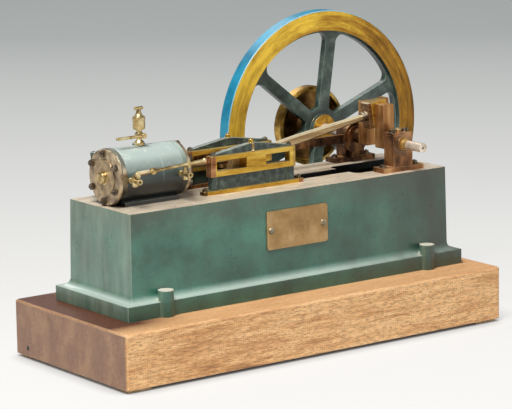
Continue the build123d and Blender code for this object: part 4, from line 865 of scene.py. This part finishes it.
def makeNut(name, size):
    flats, height = size["flats"], size["height"]
    nut = startPiece(name, 6, flats / 2 / math.cos(math.pi / 6), height)
    top = height * mm * size["shoulder"]
    pick(nut, "VERT", lambda corner: corner.co.z > top)
    bpy.ops.mesh.bevel(offset=size["pointCut"] * flats * mm, segments=2, affect="VERTICES")
    bevelTop(nut, top, size["rimCut"] * flats * mm, 2)
    stud = startPiece(name + "Stud", 16, size["studRadius"], height + size["studReach"])
    bevelTop(stud, (height + size["studReach"] / 2) * mm, size["studRadius"] * size["domeCut"] * mm, 3)
    parts = [nut, stud]
    if size["washer"]:
        disc = startPiece(name + "Washer", 24, flats * size["washerRadius"], size["washer"])
        bevelTop(disc, size["washer"] * mm / 2, size["washer"] * size["washerCut"] * mm, 2)
        parts.append(disc)
    return joinPieces(parts, name)


def circleSpots(centre, radius, count, start):
    # spots on a circle that faces along X
    spots = []
    for k in range(count):
        angle = math.radians(start + 360 / count * k)
        spots.append((centre[0], centre[1] + radius * math.cos(angle), centre[2] + radius * math.sin(angle)))
    return spots


# Every set of nuts: its size, where the nuts stand, the way they point and how far they happen to be turned
guideSides = (-18.4, 18.4)
bearingSides = (-33.5, 40.6)
nutSets = {
    "outer_cover_studs": {
        "nut": coverNut, "spots": circleSpots((-175.0, 0, axisHeight), 21.5, 6, 90), "direction": (-1, 0, 0),
    },
    "inner_cover_studs": {
        "nut": coverNut, "spots": circleSpots((-97.5, 0, axisHeight), 21.5, 6, 90), "direction": (1, 0, 0),
    },
    "gland_studs": {
        "nut": smallNut | {"washer": 0.3}, "spots": [(-89.9, y, axisHeight) for y in (-8.6, 8.6)],
        "direction": (1, 0, 0),
    },
    "chest_cover_studs": {
        "nut": smallNut, "direction": (0, 1, 0),
        "spots": [(-136.25 + dx, 39.2, axisHeight + dz) for dx in (-24.55, 0, 24.55) for dz in (-14.1, 14.1)],
    },
    "foot_bar_studs": {
        "nut": smallNut, "turn": 0.3, "spots": [(x, y, 151.1) for x in (-78.6, 28.1) for y in guideSides],
    },
    "guide_end_studs": {
        "nut": smallNut, "turn": 0.2, "spots": [(x, y, 183.1) for x in (-69.0, 17.0) for y in guideSides],
    },
    "guide_centre_studs": {
        "nut": smallNut | {"height": 3.0, "studReach": 1.4}, "spots": [(-26.0, y, 190.5) for y in guideSides],
        "turn": 0.4, "finish": brass, "slot": "yellow_brass",
    },
    "pedestal_studs": {
        "nut": smallNut | {"flats": 5.0, "washer": 0.8}, "turn": 0.25,
        "spots": [(crankPlace + dx, y, 152.0) for dx in (-19.5, 19.5) for y in bearingSides],
    },
    "bearing_cap_studs": {
        "nut": smallNut | {"flats": 5.2}, "turn": 0.15,
        "spots": [(crankPlace + dx, y, 184.4) for dx in (-8.0, 8.0) for y in bearingSides],
    },
}
for name, group in nutSets.items():
    direction = group.get("direction", (0, 0, 1))
    nuts = placeCopies(makeNut(name, group["nut"]), name, group["spots"], direction, (group.get("turn", 0.0),))
    finishPiece(nuts, group.get("finish", nutSteel), "engine_frame")
print("nuts and studs made")


# Turned pieces: a profile of radii and heights is spun round the piece's own axis
def turnedPiece(name, turned, direction, material, body):
    profile = turned["profile"]
    firstRadius, firstHeight = profile[0]
    bpy.ops.object.select_all(action="DESELECT")
    blank = {"vertices": turned["sides"], "radius": firstRadius * mm, "location": (0, 0, 0)}
    bpy.ops.mesh.primitive_circle_add(fill_type="NGON", **blank)
    piece = bpy.context.object
    piece.name = name
    bpy.ops.object.mode_set(mode="EDIT")
    bpy.ops.mesh.select_all(action="SELECT")
    bpy.ops.transform.translate(value=(0, 0, firstHeight * mm))
    for (radius, height), (lastRadius, lastHeight) in zip(profile[1:], profile):
        growth = radius / lastRadius
        rise = {"value": (0, 0, (height - lastHeight) * mm)}
        bpy.ops.mesh.extrude_region_move(TRANSFORM_OT_translate=rise)
        bpy.ops.transform.resize(value=(growth, growth, 1), center_override=(0, 0, height * mm))
    bpy.ops.mesh.select_all(action="SELECT")
    bpy.ops.mesh.normals_make_consistent(inside=False)
    bpy.ops.object.mode_set(mode="OBJECT")
    finishPiece(placeCopies(piece, name, turned["spots"], direction), material, body)


# Plug in the middle of the outer cover, rounded by the lathe
coverPlug = {
    "profile": [(6.6, 0.0), (6.6, 0.7), (5.6, 1.1), (5.6, 3.8), (5.0, 4.6), (3.4, 5.0), (3.0, 4.6), (0.3, 4.5)],
    "spots": [(-175.6, 0.0, axisHeight)],
    "sides": 40,
}
turnedPiece("cover_plug", coverPlug, (-1, 0, 0), turnedBrass, "engine_frame")

# Lubricator cup: a rolled rim over the body, and a domed lid below the thumb piece
cup = {
    "profile": [
        (4.4, 0.0), (5.5, 0.5), (5.7, 1.4), (5.7, 8.6), (5.9, 8.9), (6.0, 9.8), (5.9, 10.9), (5.4, 11.4), (3.8, 12.6),
        (2.6, 14.4), (2.0, 17.2), (0.4, 17.4),
    ],
    "spots": [(-137.0, 0.0, 213.1)],
    "sides": 40,
}
turnedPiece("lubricator_cup", cup, (0, 0, 1), turnedBrass, "engine_frame")

# Oil cups between the nuts of the bearing caps
oilCup = {
    "profile": [(2.4, 0.0), (2.4, 1.4), (3.1, 1.8), (3.3, 2.4), (3.1, 3.2), (2.4, 3.8), (1.2, 4.2), (0.3, 4.3)],
    "spots": [(crankPlace, y, 184.4) for y in bearingSides],
    "sides": 32,
}
turnedPiece("oil_cups", oilCup, (0, 0, 1), turnedBrass, "engine_frame")

# Drain rod: a pale polished sleeve as its grip, a thicker tail, and a hexagon fitting where it narrows
drainSlope = Vector((54.6, 0, 3.2)).normalized()
sleeve = {
    "profile": [(1.0, 0.0), (2.0, 0.4), (2.3, 1.2), (2.3, 10.4), (1.9, 11.4), (1.7, 11.8)],
    "spots": [(-163.4, -37.5, 180.2)],
    "sides": 28,
}
turnedPiece("drain_rod_sleeve", sleeve, drainSlope, rodSteel, "drain_rod")
tailRod = {
    "profile": [(1.5, 0.0), (1.5, 0.5), (1.4, 0.8), (1.4, 52.0)],
    "spots": [(-146.2, -37.5, 181.22)],
    "sides": 24,
}
turnedPiece("drain_rod_tail", tailRod, drainSlope, turnedBrass, "drain_rod")
fitting = smallNut | {"flats": 6.0, "height": 3.0, "studRadius": 2.2, "studReach": 2.6, "washer": 0.0}
hexagon = setAt(makeNut("drain_rod_fitting", fitting), (-149.6, -37.5, 181.02), drainSlope, 0.4)
finishPiece(hexagon, turnedBrass, "drain_rod")

# Stud that clamps each truss at its crown, seen down the near face
post = {
    "profile": [(1.9, 0.0), (1.9, 0.6), (1.5, 0.9), (1.5, 7.3)],
    "spots": [(-26.0, y, 183.1) for y in (-21.4, 21.4)],
    "sides": 24,
}
turnedPiece("truss_studs", post, (0, 0, 1), rodSteel, "engine_frame")
print("turned pieces made")


# Slotted round-head screws of the name plate. The slot's length and width are shares of the radius, its depth and
# the rounding of the head shares of the height
plateScrew = {
    "radius": 3.2, "height": 1.3, "roundCut": 0.62, "slotLength": 2.4, "slotWidth": 0.36, "slotDepth": 1.6,
    "spots": [(-28.0, -51.1, 113.0), (32.0, -51.1, 113.0)],
    "turns": (0.5, -0.3),
    "direction": (0, -1, 0.012),
}


def makeScrew(name, size):
    radius, height = size["radius"], size["height"]
    screw = startPiece(name, 32, radius, height)
    bevelTop(screw, height * mm / 2, height * size["roundCut"] * mm, 5)
    blade = (radius * size["slotLength"] * mm, radius * size["slotWidth"] * mm, height * size["slotDepth"] * mm)
    bpy.ops.mesh.primitive_cube_add(size=1, location=(0, 0, height * mm), scale=blade)
    cutter = bpy.context.object
    slotCut = screw.modifiers.new("slot", "BOOLEAN")
    slotCut.object = cutter
    slotCut.operation = "DIFFERENCE"
    slotCut.solver = "EXACT"
    selectOnly([screw])
    bpy.ops.object.modifier_apply(modifier="slot")
    bpy.data.objects.remove(cutter)
    return screw


screwHead = makeScrew("name_plate_screws", plateScrew)
placing = (plateScrew["spots"], plateScrew["direction"], plateScrew["turns"])
finishPiece(placeCopies(screwHead, "name_plate_screws", *placing), screwSteel, "engine_frame")
print("screws made")


# Floor: a plain pale table that greys with distance, shaded only close to the plinth
floorSetup = {
    "size": 16.0, "shade": "#DCDBD8", "plain": 0.8, "shadeReach": 0.03, "openFully": 0.8,
    "away": (0.594, 0.804, 0), "from": -0.05, "to": 2.2,
    "tones": [(0.0, "#F6F4F2"), (0.35, "#DADBD9"), (1.0, "#A4A9A8")],
}


def makeFloor(setup):
    bpy.ops.object.select_all(action="DESELECT")
    bpy.ops.mesh.primitive_plane_add(size=setup["size"], location=(0, 0, 0))
    floor = bpy.context.object
    floor.name = "floor"
    material = bpy.data.materials.new("pale table")
    material.use_nodes = True
    tree = material.node_tree
    tree.nodes.clear()
    diffuse = addNode(tree, "BsdfDiffuse", {"Color": setup["shade"]})
    place = addNode(tree, "TexCoord", {}, "Object")
    away = {"operation": "DOT_PRODUCT", 0: place, 1: setup["away"]}
    depth = addNode(tree, "VectorMath", away, "Value")
    share = addNode(tree, "MapRange", {"From Min": setup["from"], "From Max": setup["to"], "Value": depth})
    tone = addNode(tree, "ValToRGB", {"stops": setup["tones"], 0: share})
    openness = addNode(tree, "AmbientOcclusion", {"Distance": setup["shadeReach"]}, "AO")
    shaded = addNode(tree, "MapRange", {"From Max": setup["openFully"], "Value": openness})
    glow = addNode(tree, "Emission", {"Color": tone, "Strength": shaded})
    rays = addNode(tree, "LightPath", {}).node.outputs
    seen = addNode(tree, "Math", {"operation": "ADD", 0: rays["Is Camera Ray"], 1: rays["Is Glossy Ray"]})
    through = addNode(tree, "Math", {"operation": "ADD", 0: seen, 1: rays["Is Transmission Ray"]})
    plain = addNode(tree, "Math", {"operation": "MULTIPLY", 0: through, 1: setup["plain"]})
    mixed = addNode(tree, "MixShader", {0: plain, 1: diffuse, 2: glow})
    tree.links.new(mixed, tree.nodes.new("ShaderNodeOutputMaterial").inputs[0])
    floor.data.materials.append(material)


makeFloor(floorSetup)

# Studio light: soft squares of light that all face the middle of the engine, and a grey room
lampAim = Vector((0, 0, 0.12))
lamps = {
    "key": {"place": (-1.1, -0.7, 2.5), "size": 1.1, "power": 112.0},
    "fill": {"place": (1.3, -2.5, 1.1), "size": 1.6, "power": 14.0},
    "back": {"place": (0.5, 2.2, 1.9), "size": 1.4, "power": 18.0},
}
room = {"colour": "#CDCDCB", "strength": 0.22}
for lampName, lamp in lamps.items():
    light = bpy.data.lights.new(lampName, "AREA")
    light.energy = lamp["power"]
    light.size = lamp["size"]
    holder = bpy.data.objects.new(lampName, light)
    scene.collection.objects.link(holder)
    holder.location = lamp["place"]
    holder.rotation_euler = (lampAim - Vector(lamp["place"])).to_track_quat("-Z", "Y").to_euler()

world = bpy.data.worlds.new("studio")
scene.world = world
world.use_nodes = True
backdrop = world.node_tree.nodes["Background"]
backdrop.inputs["Color"].default_value = linearColour(room["colour"])
backdrop.inputs["Strength"].default_value = room["strength"]
print("floor and lamps placed")
